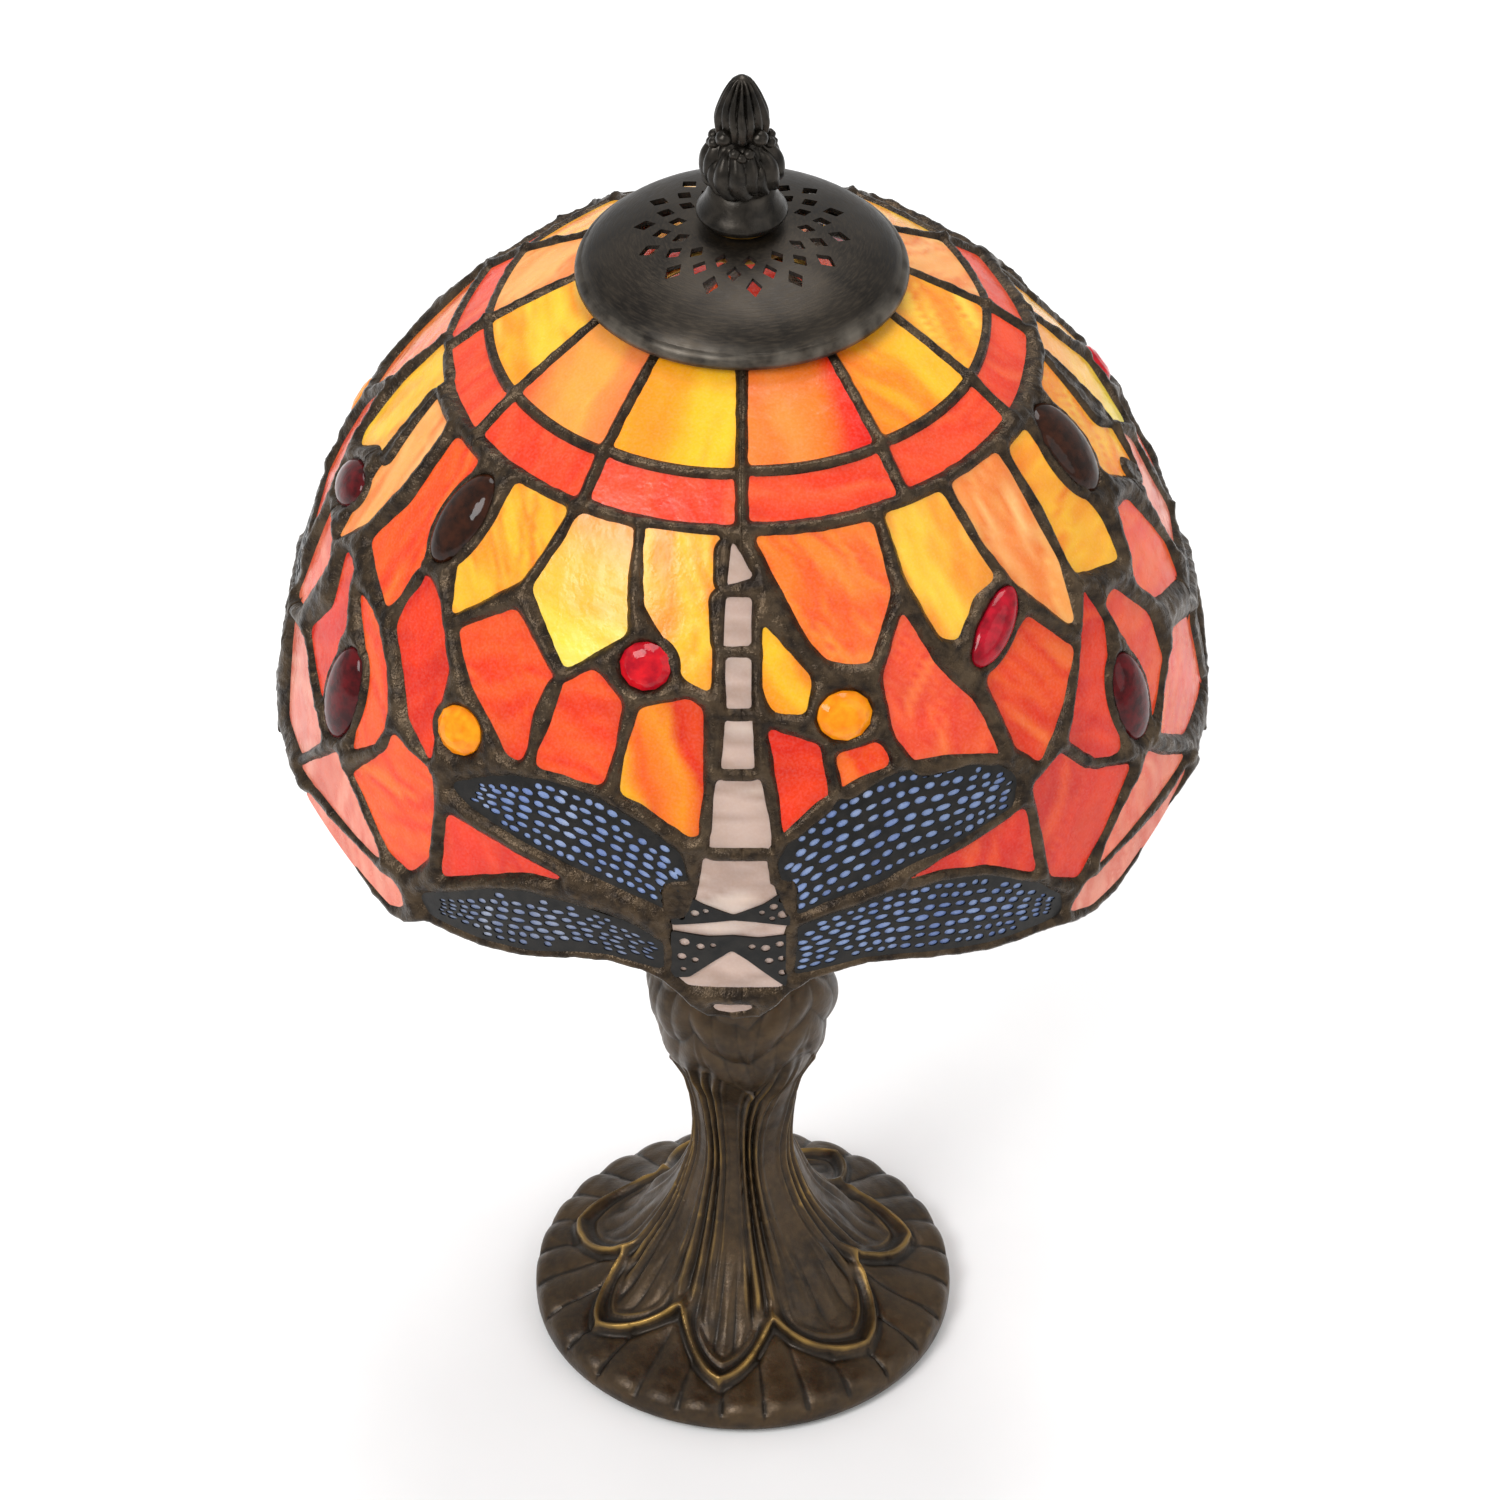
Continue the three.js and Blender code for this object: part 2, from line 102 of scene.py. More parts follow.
class Patch:
    """A flat millimetre frame that touches the dome at one place."""

    def __init__(self, places):
        places = np.asarray(places, float)
        self.azimuth = (places[:, 0].min() + places[:, 0].max()) / 2
        self.height = (places[:, 1].min() + places[:, 1].max()) / 2
        self.up = per_degree(self.height)[1]

    def flat(self, places):
        places = np.asarray(places, float)
        x = (places[:, 0] - self.azimuth) * per_degree(places[:, 1])[0]
        return np.stack([x, (places[:, 1] - self.height) * self.up], axis=-1)

    def places(self, flat):
        flat = np.asarray(flat, float)
        height = self.height + flat[:, 1] / self.up
        return np.stack([self.azimuth + flat[:, 0] / per_degree(height)[0], height], axis=-1)


# ---- Shape helpers --------------------------------------------------------------------------
def smooth(values, low, high):
    t = np.clip((values - low) / (high - low), 0, 1)
    return t * t * (3 - 2 * t)


def bump_at(values, width):
    return np.exp(-(values / width) ** 2)


def fbm(points, scale, octaves=3, seed=0.0):
    """Noise of about -1 to 1 at each point, its largest lumps `scale` millimetres wide."""
    total = np.zeros(len(points))
    for octave in range(octaves):
        stretched = np.asarray(points, float) * (2 ** octave / scale)
        shift = Vector((seed + 7.3 * octave, 1.7 * seed, -seed))
        total += [noise.noise(Vector(p) + shift) / 2 ** octave for p in stretched.tolist()]
    return total


def rounded(points, cut, steps=3):
    """Softens the corners of a closed outline, starting `cut` from each."""
    points = np.asarray(points, float)
    result = []
    for i, corner in enumerate(points):
        ends = []
        for other in (points[i - 1], points[(i + 1) % len(points)]):
            away = other - corner
            length = np.linalg.norm(away)
            ends.append(corner + away * min(cut / length, 0.4))
        for t in np.linspace(0, 1, steps + 1):
            result.append((1 - t) ** 2 * ends[0] + 2 * t * (1 - t) * corner + t * t * ends[1])
    return np.array(result)


def divided(points, longest):
    """A closed outline with no edge longer than `longest`."""
    result = []
    for i, start in enumerate(points):
        end = points[(i + 1) % len(points)]
        count = max(1, math.ceil(np.linalg.norm(end - start) / longest))
        result += [start + (end - start) * k / count for k in range(count)]
    return np.array(result)


def signed_area(points):
    x, y = points[:, 0], points[:, 1]
    return 0.5 * np.sum(x * np.roll(y, -1) - np.roll(x, -1) * y)


def grown(points, distance):
    """A closed outline moved outwards by `distance`."""
    before = points - np.roll(points, 1, axis=0)
    after = np.roll(points, -1, axis=0) - points
    tangent = before / np.linalg.norm(before, axis=1, keepdims=True)
    tangent = tangent + after / np.linalg.norm(after, axis=1, keepdims=True)
    normal = np.stack([tangent[:, 1], -tangent[:, 0]], axis=-1)
    normal /= np.maximum(np.linalg.norm(normal, axis=1, keepdims=True), 1e-9)
    return points + normal * distance * np.sign(signed_area(points))


def inside(points, outline):
    """Which points lie inside a closed outline."""
    x, y = points[:, 0:1], points[:, 1:2]
    x1, y1 = outline[:, 0], outline[:, 1]
    x2, y2 = np.roll(x1, -1), np.roll(y1, -1)
    spans = (y1 > y) != (y2 > y)
    with np.errstate(divide="ignore", invalid="ignore"):
        crossing = x1 + (y - y1) * (x2 - x1) / (y2 - y1)
    return (np.where(spans, x < crossing, False).sum(axis=1) % 2) == 1


def edge_distance(points, outline):
    """Distance from each point to a closed outline, negative inside it."""
    start = outline[None, :, :]
    along = np.roll(outline, -1, axis=0)[None, :, :] - start
    offset = points[:, None, :] - start
    t = np.clip((offset * along).sum(-1) / np.maximum((along ** 2).sum(-1), 1e-12), 0, 1)
    distance = np.linalg.norm(offset - t[..., None] * along, axis=-1).min(axis=1)
    return np.where(inside(points, outline), -distance, distance)


def filled(outline, spacing, holes=()):
    """Triangles over an outline with holes. Returns flat points and triangles."""
    loops = [outline, *holes]
    low, high = outline.min(axis=0), outline.max(axis=0)
    grid_x, grid_y = np.meshgrid(*(np.arange(low[k] + spacing / 2, high[k], spacing) for k in (0, 1)))
    inner = np.stack([grid_x.ravel(), grid_y.ravel()], axis=-1)
    keep = edge_distance(inner, outline) < -0.45 * spacing if len(inner) else np.zeros(0, bool)
    for hole in holes:
        near = np.linalg.norm(inner - hole.mean(axis=0), axis=1) < 3 * spacing
        near &= keep
        keep[near] = edge_distance(inner[near], hole) > 0.45 * spacing
    points = np.concatenate([*loops, inner[keep]])
    edges = []
    first = 0
    for loop in loops:
        count = len(loop)
        edges += [(first + k, first + (k + 1) % count) for k in range(count)]
        first += count
    made = geometry.delaunay_2d_cdt([Vector(p) for p in points], edges, [], 0, 1e-5)
    flat = np.array([tuple(v) for v in made[0]])
    triangles = np.array([f for f in made[2] if len(f) == 3])
    centres = flat[triangles].mean(axis=1)
    solid = inside(centres, outline)
    for hole in holes:
        solid &= ~inside(centres, hole)
    return flat, triangles[solid]


def boundary_edges(faces):
    """Edges of a faces array that only one face uses, in that face's direction."""
    count = faces.shape[1]
    pairs = np.concatenate([faces[:, [k, (k + 1) % count]] for k in range(count)])
    keys = np.sort(pairs, axis=1)
    _, first, uses = np.unique(keys, axis=0, return_index=True, return_counts=True)
    return pairs[first[uses == 1]]


def thick_sheet(top, bottom, faces):
    """Closes matching top and bottom points over the same faces with walls."""
    used = np.unique(faces)
    renumber = np.full(len(top), -1)
    renumber[used] = np.arange(len(used))
    faces = renumber[faces]
    count = len(used)
    vertices = np.concatenate([top[used], bottom[used]])
    rim = boundary_edges(faces)
    walls = np.stack([rim[:, 1], rim[:, 0], rim[:, 0] + count, rim[:, 1] + count], axis=-1)
    all_faces = faces.tolist() + (faces[:, ::-1] + count).tolist() + walls.tolist()
    return vertices, all_faces, used


def mesh_object(name, vertices, faces, material, smooth_angle=40, attributes=None):
    mesh = bpy.data.meshes.new(name)
    mesh.from_pydata((np.asarray(vertices, float) * MM).tolist(), [], faces)
    mesh.materials.append(material)
    for label, values in (attributes or {}).items():
        kind = "FLOAT" if values.ndim == 1 else "FLOAT_COLOR"
        field = "value" if values.ndim == 1 else "color"
        layer = mesh.attributes.new(label, kind, "POINT")
        layer.data.foreach_set(field, values.astype(np.float32).ravel())
    mesh.update()
    mesh.shade_smooth()
    if smooth_angle:
        mesh.set_sharp_from_angle(angle=math.radians(smooth_angle))
    obj = bpy.data.objects.new(name, mesh)
    bpy.context.scene.collection.objects.link(obj)
    return obj


def placed(obj, body, slot, *nodes):
    """Puts a piece on its body and hides the plain nodes it stands for. `slot` is not used."""
    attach(obj, body)
    if nodes:
        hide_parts(*nodes)
    return obj


def turned(name, profile, material, sides=96, relief=None, smooth_angle=40, worn=False):
    """A closed profile of (radius, z) turned about Z. `relief(azimuth, r, z)` moves it out."""
    profile = np.asarray(profile, float)
    on_axis = profile[:, 0] < 1e-6
    after = np.roll(profile, -1, axis=0)
    before = np.roll(profile, 1, axis=0)
    ahead, behind = after - profile, profile - before
    far_ahead = np.linalg.norm(ahead, axis=1) > 4 * np.linalg.norm(behind, axis=1)
    far_behind = np.linalg.norm(behind, axis=1) > 4 * np.linalg.norm(ahead, axis=1)
    along = np.where(far_ahead[:, None], behind, np.where(far_behind[:, None], ahead, after - before))
    normal = np.stack([along[:, 1], -along[:, 0]], axis=-1)
    normal /= np.maximum(np.linalg.norm(normal, axis=1, keepdims=True), 1e-9)
    normal *= np.sign(signed_area(profile))
    angles = np.linspace(0, 360, sides, endpoint=False)
    push = np.zeros((len(profile), sides))
    if relief is not None:
        push = relief(angles[None, :], profile[:, 0:1], profile[:, 1:2])
    r = np.where(on_axis[:, None], 0, profile[:, 0:1] + normal[:, 0:1] * push)
    z = profile[:, 1:2] + normal[:, 1:2] * push
    a = np.radians(angles)[None, :]
    vertices = np.stack([r * np.sin(a), -r * np.cos(a), z * np.ones_like(a)], axis=-1)
    ring = np.arange(len(profile) * sides).reshape(len(profile), sides)
    faces = []
    for i in range(len(profile)):
        j = (i + 1) % len(profile)
        if on_axis[i] and on_axis[j]:
            continue
        lower, upper = ring[i], ring[j]
        lower_next, upper_next = np.roll(lower, -1), np.roll(upper, -1)
        if on_axis[i]:
            faces += np.stack([np.full(sides, lower[0]), upper_next, upper], axis=-1).tolist()
        elif on_axis[j]:
            faces += np.stack([lower, lower_next, np.full(sides, upper[0])], axis=-1).tolist()
        else:
            faces += np.stack([lower, lower_next, upper_next, upper], axis=-1).tolist()
    if signed_area(profile) < 0:
        faces = [f[::-1] for f in faces]
    attributes = None
    if worn:
        attributes = {"worn": raised(push).ravel()}
    obj = mesh_object(name, vertices.reshape(-1, 3), faces, material, smooth_angle, attributes)
    drop_loose(obj)
    return obj


def raised(push):
    """How far each place of a relief stands above the places round it."""
    soft = push.copy()
    for _ in range(6):
        soft = (soft + np.roll(soft, 1, 1) + np.roll(soft, -1, 1)) / 3
        padded_rows = np.pad(soft, ((1, 1), (0, 0)), mode="edge")
        soft = (padded_rows[:-2] + padded_rows[1:-1] + padded_rows[2:]) / 3
    return push - soft


def drop_loose(obj):
    """Removes the spare points left where a turned profile meets the axis."""
    cleaned = bmesh.new()
    cleaned.from_mesh(obj.data)
    loose = [v for v in cleaned.verts if not v.link_faces]
    bmesh.ops.delete(cleaned, geom=loose, context="VERTS")
    cleaned.to_mesh(obj.data)
    cleaned.free()


def wire(name, path, radius, material, sides=14):
    """A round wire along a path of points, with flat ends."""
    path = np.asarray(path, float)
    tangent = np.gradient(path, axis=0)
    tangent /= np.linalg.norm(tangent, axis=1, keepdims=True)
    across = np.cross(tangent, [0, 1, 0])
    across /= np.linalg.norm(across, axis=1, keepdims=True)
    side = np.cross(across, tangent)
    a = np.linspace(0, 2 * math.pi, sides, endpoint=False)
    rings = path[:, None] + radius * (
        across[:, None] * np.cos(a)[None, :, None] + side[:, None] * np.sin(a)[None, :, None]
    )
    index = np.arange(len(path) * sides).reshape(len(path), sides)
    lower, upper = index[:-1], index[1:]
    faces = np.stack([lower, np.roll(lower, -1, 1), np.roll(upper, -1, 1), upper], axis=-1)
    faces = faces.reshape(-1, 4).tolist() + [index[0][::-1].tolist(), index[-1].tolist()]
    return mesh_object(name, rings.reshape(-1, 3), faces, material, 50)


# ---- Materials ------------------------------------------------------------------------------
def linear(code):
    """A linear colour from a hex code."""
    values = [int(code[i:i + 2], 16) / 255 for i in (1, 3, 5)]
    return [v / 12.92 if v <= 0.04045 else ((v + 0.055) / 1.055) ** 2.4 for v in values]


class Recipe:
    """A node material with short calls for the nodes used here."""

    def __init__(self, name):
        self.material = bpy.data.materials.new(name)
        self.material.use_nodes = True
        self.tree = self.material.node_tree
        self.shader = self.tree.nodes["Principled BSDF"]
        self.place = self.node("ShaderNodeTexCoord").outputs["Object"]

    def node(self, kind, **settings):
        made = self.tree.nodes.new(kind)
        for key, value in settings.items():
            setattr(made, key, value)
        return made

    def put(self, value, socket):
        if isinstance(value, bpy.types.NodeSocket):
            self.tree.links.new(value, socket)
        elif isinstance(value, str):
            socket.default_value = (*linear(value), 1)
        else:
            socket.default_value = value

    def noise(self, size, detail=4, distortion=0.0, vector=None):
        """Noise whose lumps are `size` millimetres."""
        made = self.node("ShaderNodeTexNoise")
        self.put(vector or self.place, made.inputs["Vector"])
        made.inputs["Scale"].default_value = 1 / (size * MM)
        made.inputs["Detail"].default_value = detail
        made.inputs["Distortion"].default_value = distortion
        return made.outputs["Fac"]

    def between(self, value, low, high, out_low=0.0, out_high=1.0):
        made = self.node("ShaderNodeMapRange")
        for socket, number in zip(made.inputs, (value, low, high, out_low, out_high)):
            self.put(number, socket)
        return made.outputs["Result"]

    def mottle(self, size, detail, low, high, first, second, distortion=0.0):
        """Two colours in patches of about `size` millimetres."""
        return self.blend(self.between(self.noise(size, detail, distortion), low, high), first, second)

    def uneven(self, size, detail, low, high):
        """A value that wanders between two limits."""
        return self.between(self.noise(size, detail), 0.3, 0.7, low, high)

    def math(self, operation, first, second):
        made = self.node("ShaderNodeMath", operation=operation)
        self.put(first, made.inputs[0])
        self.put(second, made.inputs[1])
        return made.outputs[0]

    def blend(self, factor, first, second, mode="MIX"):
        made = self.node("ShaderNodeMix", data_type="RGBA", blend_type=mode)
        sockets = [s for s in made.inputs if s.type == "RGBA"]
        self.put(factor, made.inputs["Factor"])
        self.put(first, sockets[0])
        self.put(second, sockets[1])
        return [s for s in made.outputs if s.type == "RGBA"][0]

    def attribute(self, label, output="Color"):
        return self.node("ShaderNodeAttribute", attribute_name=label).outputs[output]

    def bump(self, height, distance, strength=1.0):
        made = self.node("ShaderNodeBump")
        self.put(height, made.inputs["Height"])
        made.inputs["Distance"].default_value = distance * MM
        made.inputs["Strength"].default_value = strength
        return made.outputs["Normal"]

    def finish(self, **sockets):
        for key, value in sockets.items():
            self.put(value, self.shader.inputs[key.replace("_", " ")])
        return self.material


def glass_material(name, roughness=0.2, ripple=0.25, glow=0.12):
    """Rolled opalescent glass coloured by the `glass` attribute."""
    r = Recipe(name)
    cloud = r.noise(7, 5, 0.6)
    fleck = r.noise(0.6, 3)
    haze = r.between(cloud, 0.4, 0.75, 0.0, 0.12)
    colour = r.blend(haze, r.attribute("glass"), "#FFE2BE", "SOFT_LIGHT")
    colour = r.blend(r.between(fleck, 0.4, 0.7, 0.0, 0.03), colour, "#FFFFFF")
    waves = r.noise(5, 3)
    pits = r.noise(0.9, 2)
    height = r.math("ADD", waves, r.math("MULTIPLY", pits, 0.12))
    return r.finish(
        Base_Color=colour, Roughness=r.uneven(3, 4, roughness - 0.06, roughness + 0.1),
        Normal=r.bump(height, ripple), Subsurface_Weight=glow, Subsurface_Radius=(0.004, 0.003, 0.002),
        Subsurface_Scale=0.6, Specular_IOR_Level=0.28,
    )


def jewel_material(name, dark, light):
    """Clear cast glass, mottled between two shades."""
    r = Recipe(name)
    body = r.mottle(2.5, 3, 0.35, 0.65, dark, light)
    return r.finish(
        Base_Color=body, Roughness=r.uneven(1.5, 3, 0.03, 0.12),
        Normal=r.bump(r.noise(3, 2), 0.12), Specular_IOR_Level=0.22,
        Subsurface_Weight=0.02, Subsurface_Radius=(0.003, 0.001, 0.001), Subsurface_Scale=1.0,
    )


def lead_material():
    """Solder with a dark brown patina, lighter in patches."""
    r = Recipe("patinated lead")
    dark = r.mottle(3, 5, 0.35, 0.65, "#221A13", "#443626", 0.4)
    patch = r.between(r.noise(9, 3, 0.5), 0.5, 0.7)
    colour = r.blend(r.math("MULTIPLY", patch, 0.5), dark, "#5E4E3B")
    height = r.math("ADD", r.noise(1.6, 4), r.math("MULTIPLY", r.noise(0.4, 2), 0.2))
    return r.finish(
        Base_Color=colour, Metallic=0.75, Roughness=r.uneven(2, 4, 0.2, 0.42),
        Normal=r.bump(height, 0.4),
    )


def bronze_material():
    """Antique bronze: brown in the hollows, rubbed to brass on the ridges."""
    r = Recipe("antique bronze")
    brown = r.mottle(14, 5, 0.35, 0.65, "#2A2016", "#443421", 0.4)
    dust = r.between(r.noise(2, 4), 0.4, 0.7, 0.0, 0.3)
    brown = r.blend(dust, brown, "#5C482C")
    worn = r.math("ADD", r.attribute("worn", "Fac"), r.uneven(5, 4, -0.09, 0.07))
    rubbed = r.between(r.noise(16, 3, 0.3), 0.42, 0.6, 0.15, 0.85)
    gilt = r.math("MULTIPLY", r.between(worn, 0.12, 0.6), rubbed)
    colour = r.blend(gilt, brown, "#A88648")
    hollow = r.between(worn, -0.25, -0.05, 0.75, 0.0)
    colour = r.blend(hollow, colour, "#16120D")
    return r.finish(
        Base_Color=colour, Metallic=r.between(gilt, 0, 1, 0.55, 0.85),
        Roughness=r.uneven(3, 4, 0.32, 0.5), Normal=r.bump(r.noise(0.8, 4), 0.08),
    )


def cap_material():
    """Spun steel under a near-black bronze finish with circular brushing, paler at its rim. The lighter
    streaks along the brushing are painted sheen.
    """
    r = Recipe("dark spun bronze")
    apart = r.node("ShaderNodeSeparateXYZ")
    r.put(r.place, apart.inputs[0])
    x, y, z = apart.outputs
    radius = r.math("SQRT", r.math("ADD", r.math("MULTIPLY", x, x), r.math("MULTIPLY", y, y)), 0.0)
    angle = r.math("MULTIPLY", r.math("ARCTAN2", y, x), 0.004)
    rings = r.node("ShaderNodeCombineXYZ")
    r.put(radius, rings.inputs[0])
    r.put(angle, rings.inputs[1])
    r.put(r.math("MULTIPLY", z, 0.5), rings.inputs[2])
    brushed_grain_and_sheen = r.noise(0.35, 5, 0.0, rings.outputs[0])
    colour = r.mottle(11, 4, 0.35, 0.7, "#201C18", "#342E27", 0.5)
    # painted sheen: the colour turns lighter along the rings of brushing
    colour = r.blend(r.between(brushed_grain_and_sheen, 0.45, 0.8, 0.0, 0.35), colour, "#54493B")
    # paler all round the rim, in patches
    edge = r.between(radius, 0.0325, 0.0353, 0.0, 0.45)
    colour = r.blend(r.math("MULTIPLY", edge, r.between(r.noise(7, 4), 0.35, 0.65)), colour, "#8C8478")
    return r.finish(
        Base_Color=colour, Metallic=0.75, Roughness=r.between(brushed_grain_and_sheen, 0.3, 0.7, 0.34, 0.5),
        Normal=r.bump(brushed_grain_and_sheen, 0.03),
    )


def metal_material(name, light, dark, metallic=1.0, roughness=0.32, tarnish=6.0):
    """Worked metal with patches of tarnish `tarnish` millimetres across."""
    r = Recipe(name)
    colour = r.mottle(tarnish, 5, 0.38, 0.66, light, dark, 0.4)
    return r.finish(
        Base_Color=colour, Metallic=metallic,
        Roughness=r.uneven(2, 4, roughness - 0.07, roughness + 0.12),
        Normal=r.bump(r.noise(0.7, 3), 0.04),
    )


def felt_material():
    """Matted fibres, dusty in places."""
    r = Recipe("green felt")
    fibre = r.noise(0.35, 5, 1.2)
    colour = r.blend(r.between(fibre, 0.3, 0.7), "#22402B", "#3F6B4A")
    colour = r.blend(r.between(r.noise(12, 3), 0.4, 0.7, 0.0, 0.4), colour, "#2B3A2C")
    return r.finish(
        Base_Color=colour, Roughness=0.95, Normal=r.bump(fibre, 0.4), Sheen_Weight=0.4,
    )


def frosted_material():
    """A soft white coating that lets a little light through."""
    r = Recipe("frosted bulb glass")
    colour = r.mottle(9, 4, 0.35, 0.65, "#F6F3EA", "#E6E1D4")
    return r.finish(
        Base_Color=colour, Roughness=r.uneven(1, 3, 0.32, 0.46),
        Normal=r.bump(r.noise(0.5, 3), 0.03), Subsurface_Weight=0.4,
        Subsurface_Radius=(0.01, 0.01, 0.009), Subsurface_Scale=0.5,
    )


GLASS = glass_material("opalescent glass")
BODY_GLASS = glass_material("pale body glass", 0.14, 0.12, 0.3)
WING_GLASS = glass_material("blue wing glass", 0.22, 0.1, 0.1)
LEAD = lead_material()
BRONZE = bronze_material()
SPUN = cap_material()
FINIAL_METAL = metal_material("dark cast bronze", "#1C1915", "#342F29", 0.75, 0.3, 4)
FILIGREE = metal_material("black filigree", "#0E0D0C", "#1D1A17", 0.5, 0.34, 3)
BRASS = metal_material("aged brass", "#B08A45", "#7C5E2C", 1.0, 0.3)
STEEL = metal_material("zinc steel", "#A4A6A8", "#74767A", 1.0, 0.34)
ALUMINIUM = metal_material("aluminium shell", "#C4C5C6", "#98999C", 1.0, 0.28)
PHENOLIC = metal_material("phenolic", "#1B1A19", "#292724", 0.0, 0.42)
FELT = felt_material()
FROSTED = frosted_material()
JEWELS = {
    "red": jewel_material("red jewel", "#98061A", "#C8141F"),
    "orange": jewel_material("orange jewel", "#E07808", "#F09414"),
    "brown": jewel_material("brown jewel", "#1C0C05", "#34180B"),
    "wine": jewel_material("wine jewel", "#2E0508", "#560A10"),
    "crimson": jewel_material("crimson jewel", "#780818", "#A81024"),
}

# ---- Glass pattern --------------------------------------------------------------------------
# Palette: colours in order along the streaks' cross direction, and how evenly they follow it
# (1 is a plain sweep of colour, 0 is all streaks).
PALETTES = {
    "amber": (["#F3AC32", "#F8C648", "#F0962A", "#F9D05C"], 0.2),
    "yellow": (["#F6BC2C", "#F8CE4C", "#F1A226", "#F9DA74"], 0.25),
    "gold": (["#F09A26", "#F5A828", "#F7B72A", "#F9C93C", "#F4A02A"], 0.6),
    "ember": (["#E2402A", "#F08A50", "#F6A858", "#F7B45C", "#F19A58", "#EE7A50"], 0.85),
    "amber fire": (["#F09028", "#F5A02E", "#F28A26", "#F8B834", "#F9C440", "#F0942C"], 0.7),
    "sunrise": (["#F9EE9E", "#F8DE5C", "#F6C244", "#F4B45A", "#F2A24C"], 0.8),
    "honey": (["#F8DE86", "#F5BC34", "#F0A028", "#F6C844", "#EA8E20", "#F4B834"], 0.6),
    "orange": (["#F07C24", "#F4983A", "#EA6A1C", "#F6AA4A"], 0.2),
    "flame": (["#F7A052", "#F4883A", "#F59A4E", "#F28C2E", "#E8401C", "#E02A12"], 0.92),
    "coral": (["#EC5A2A", "#F27238", "#E64C22", "#F48446"], 0.15),
    "red": (["#E6441C", "#EC5626", "#DC3414", "#EE6630"], 0.15),
    "tangerine": (["#F2601E", "#F4762A", "#EC4E18", "#F68838"], 0.2),
    "salmon": (["#EE7E5C", "#F29474", "#E86A48", "#F4A488"], 0.2),
    "pink": (["#E9937E", "#F0A894", "#E27E68", "#F3B8A6"], 0.2),
    "peach": (["#F4AA60", "#F7BE7A", "#EF944E", "#F9CC90"], 0.25),
    "striped": (["#F4AE2C", "#F7C236", "#EE7426", "#F2A230", "#E0401A", "#E8622C", "#D4260E"], 0.88),
    "band": (["#EA5A34", "#EE683E", "#E64E2A", "#F07446"], 0.1),
    "shell": (["#C6B0A6", "#D0BCB2", "#BAA59A", "#D8C8BE"], 0.2),
    "wing": (["#93A6CE", "#A2B4D6", "#8498C6", "#B4C2DE"], 0.1),
    # painted shade: a greyer, slightly darker copy of the wing colours, for the lower left wings
    "wing in painted shade": (["#98A2BC", "#A6AFC4", "#8692B0", "#B2B9CA"], 0.1),
}

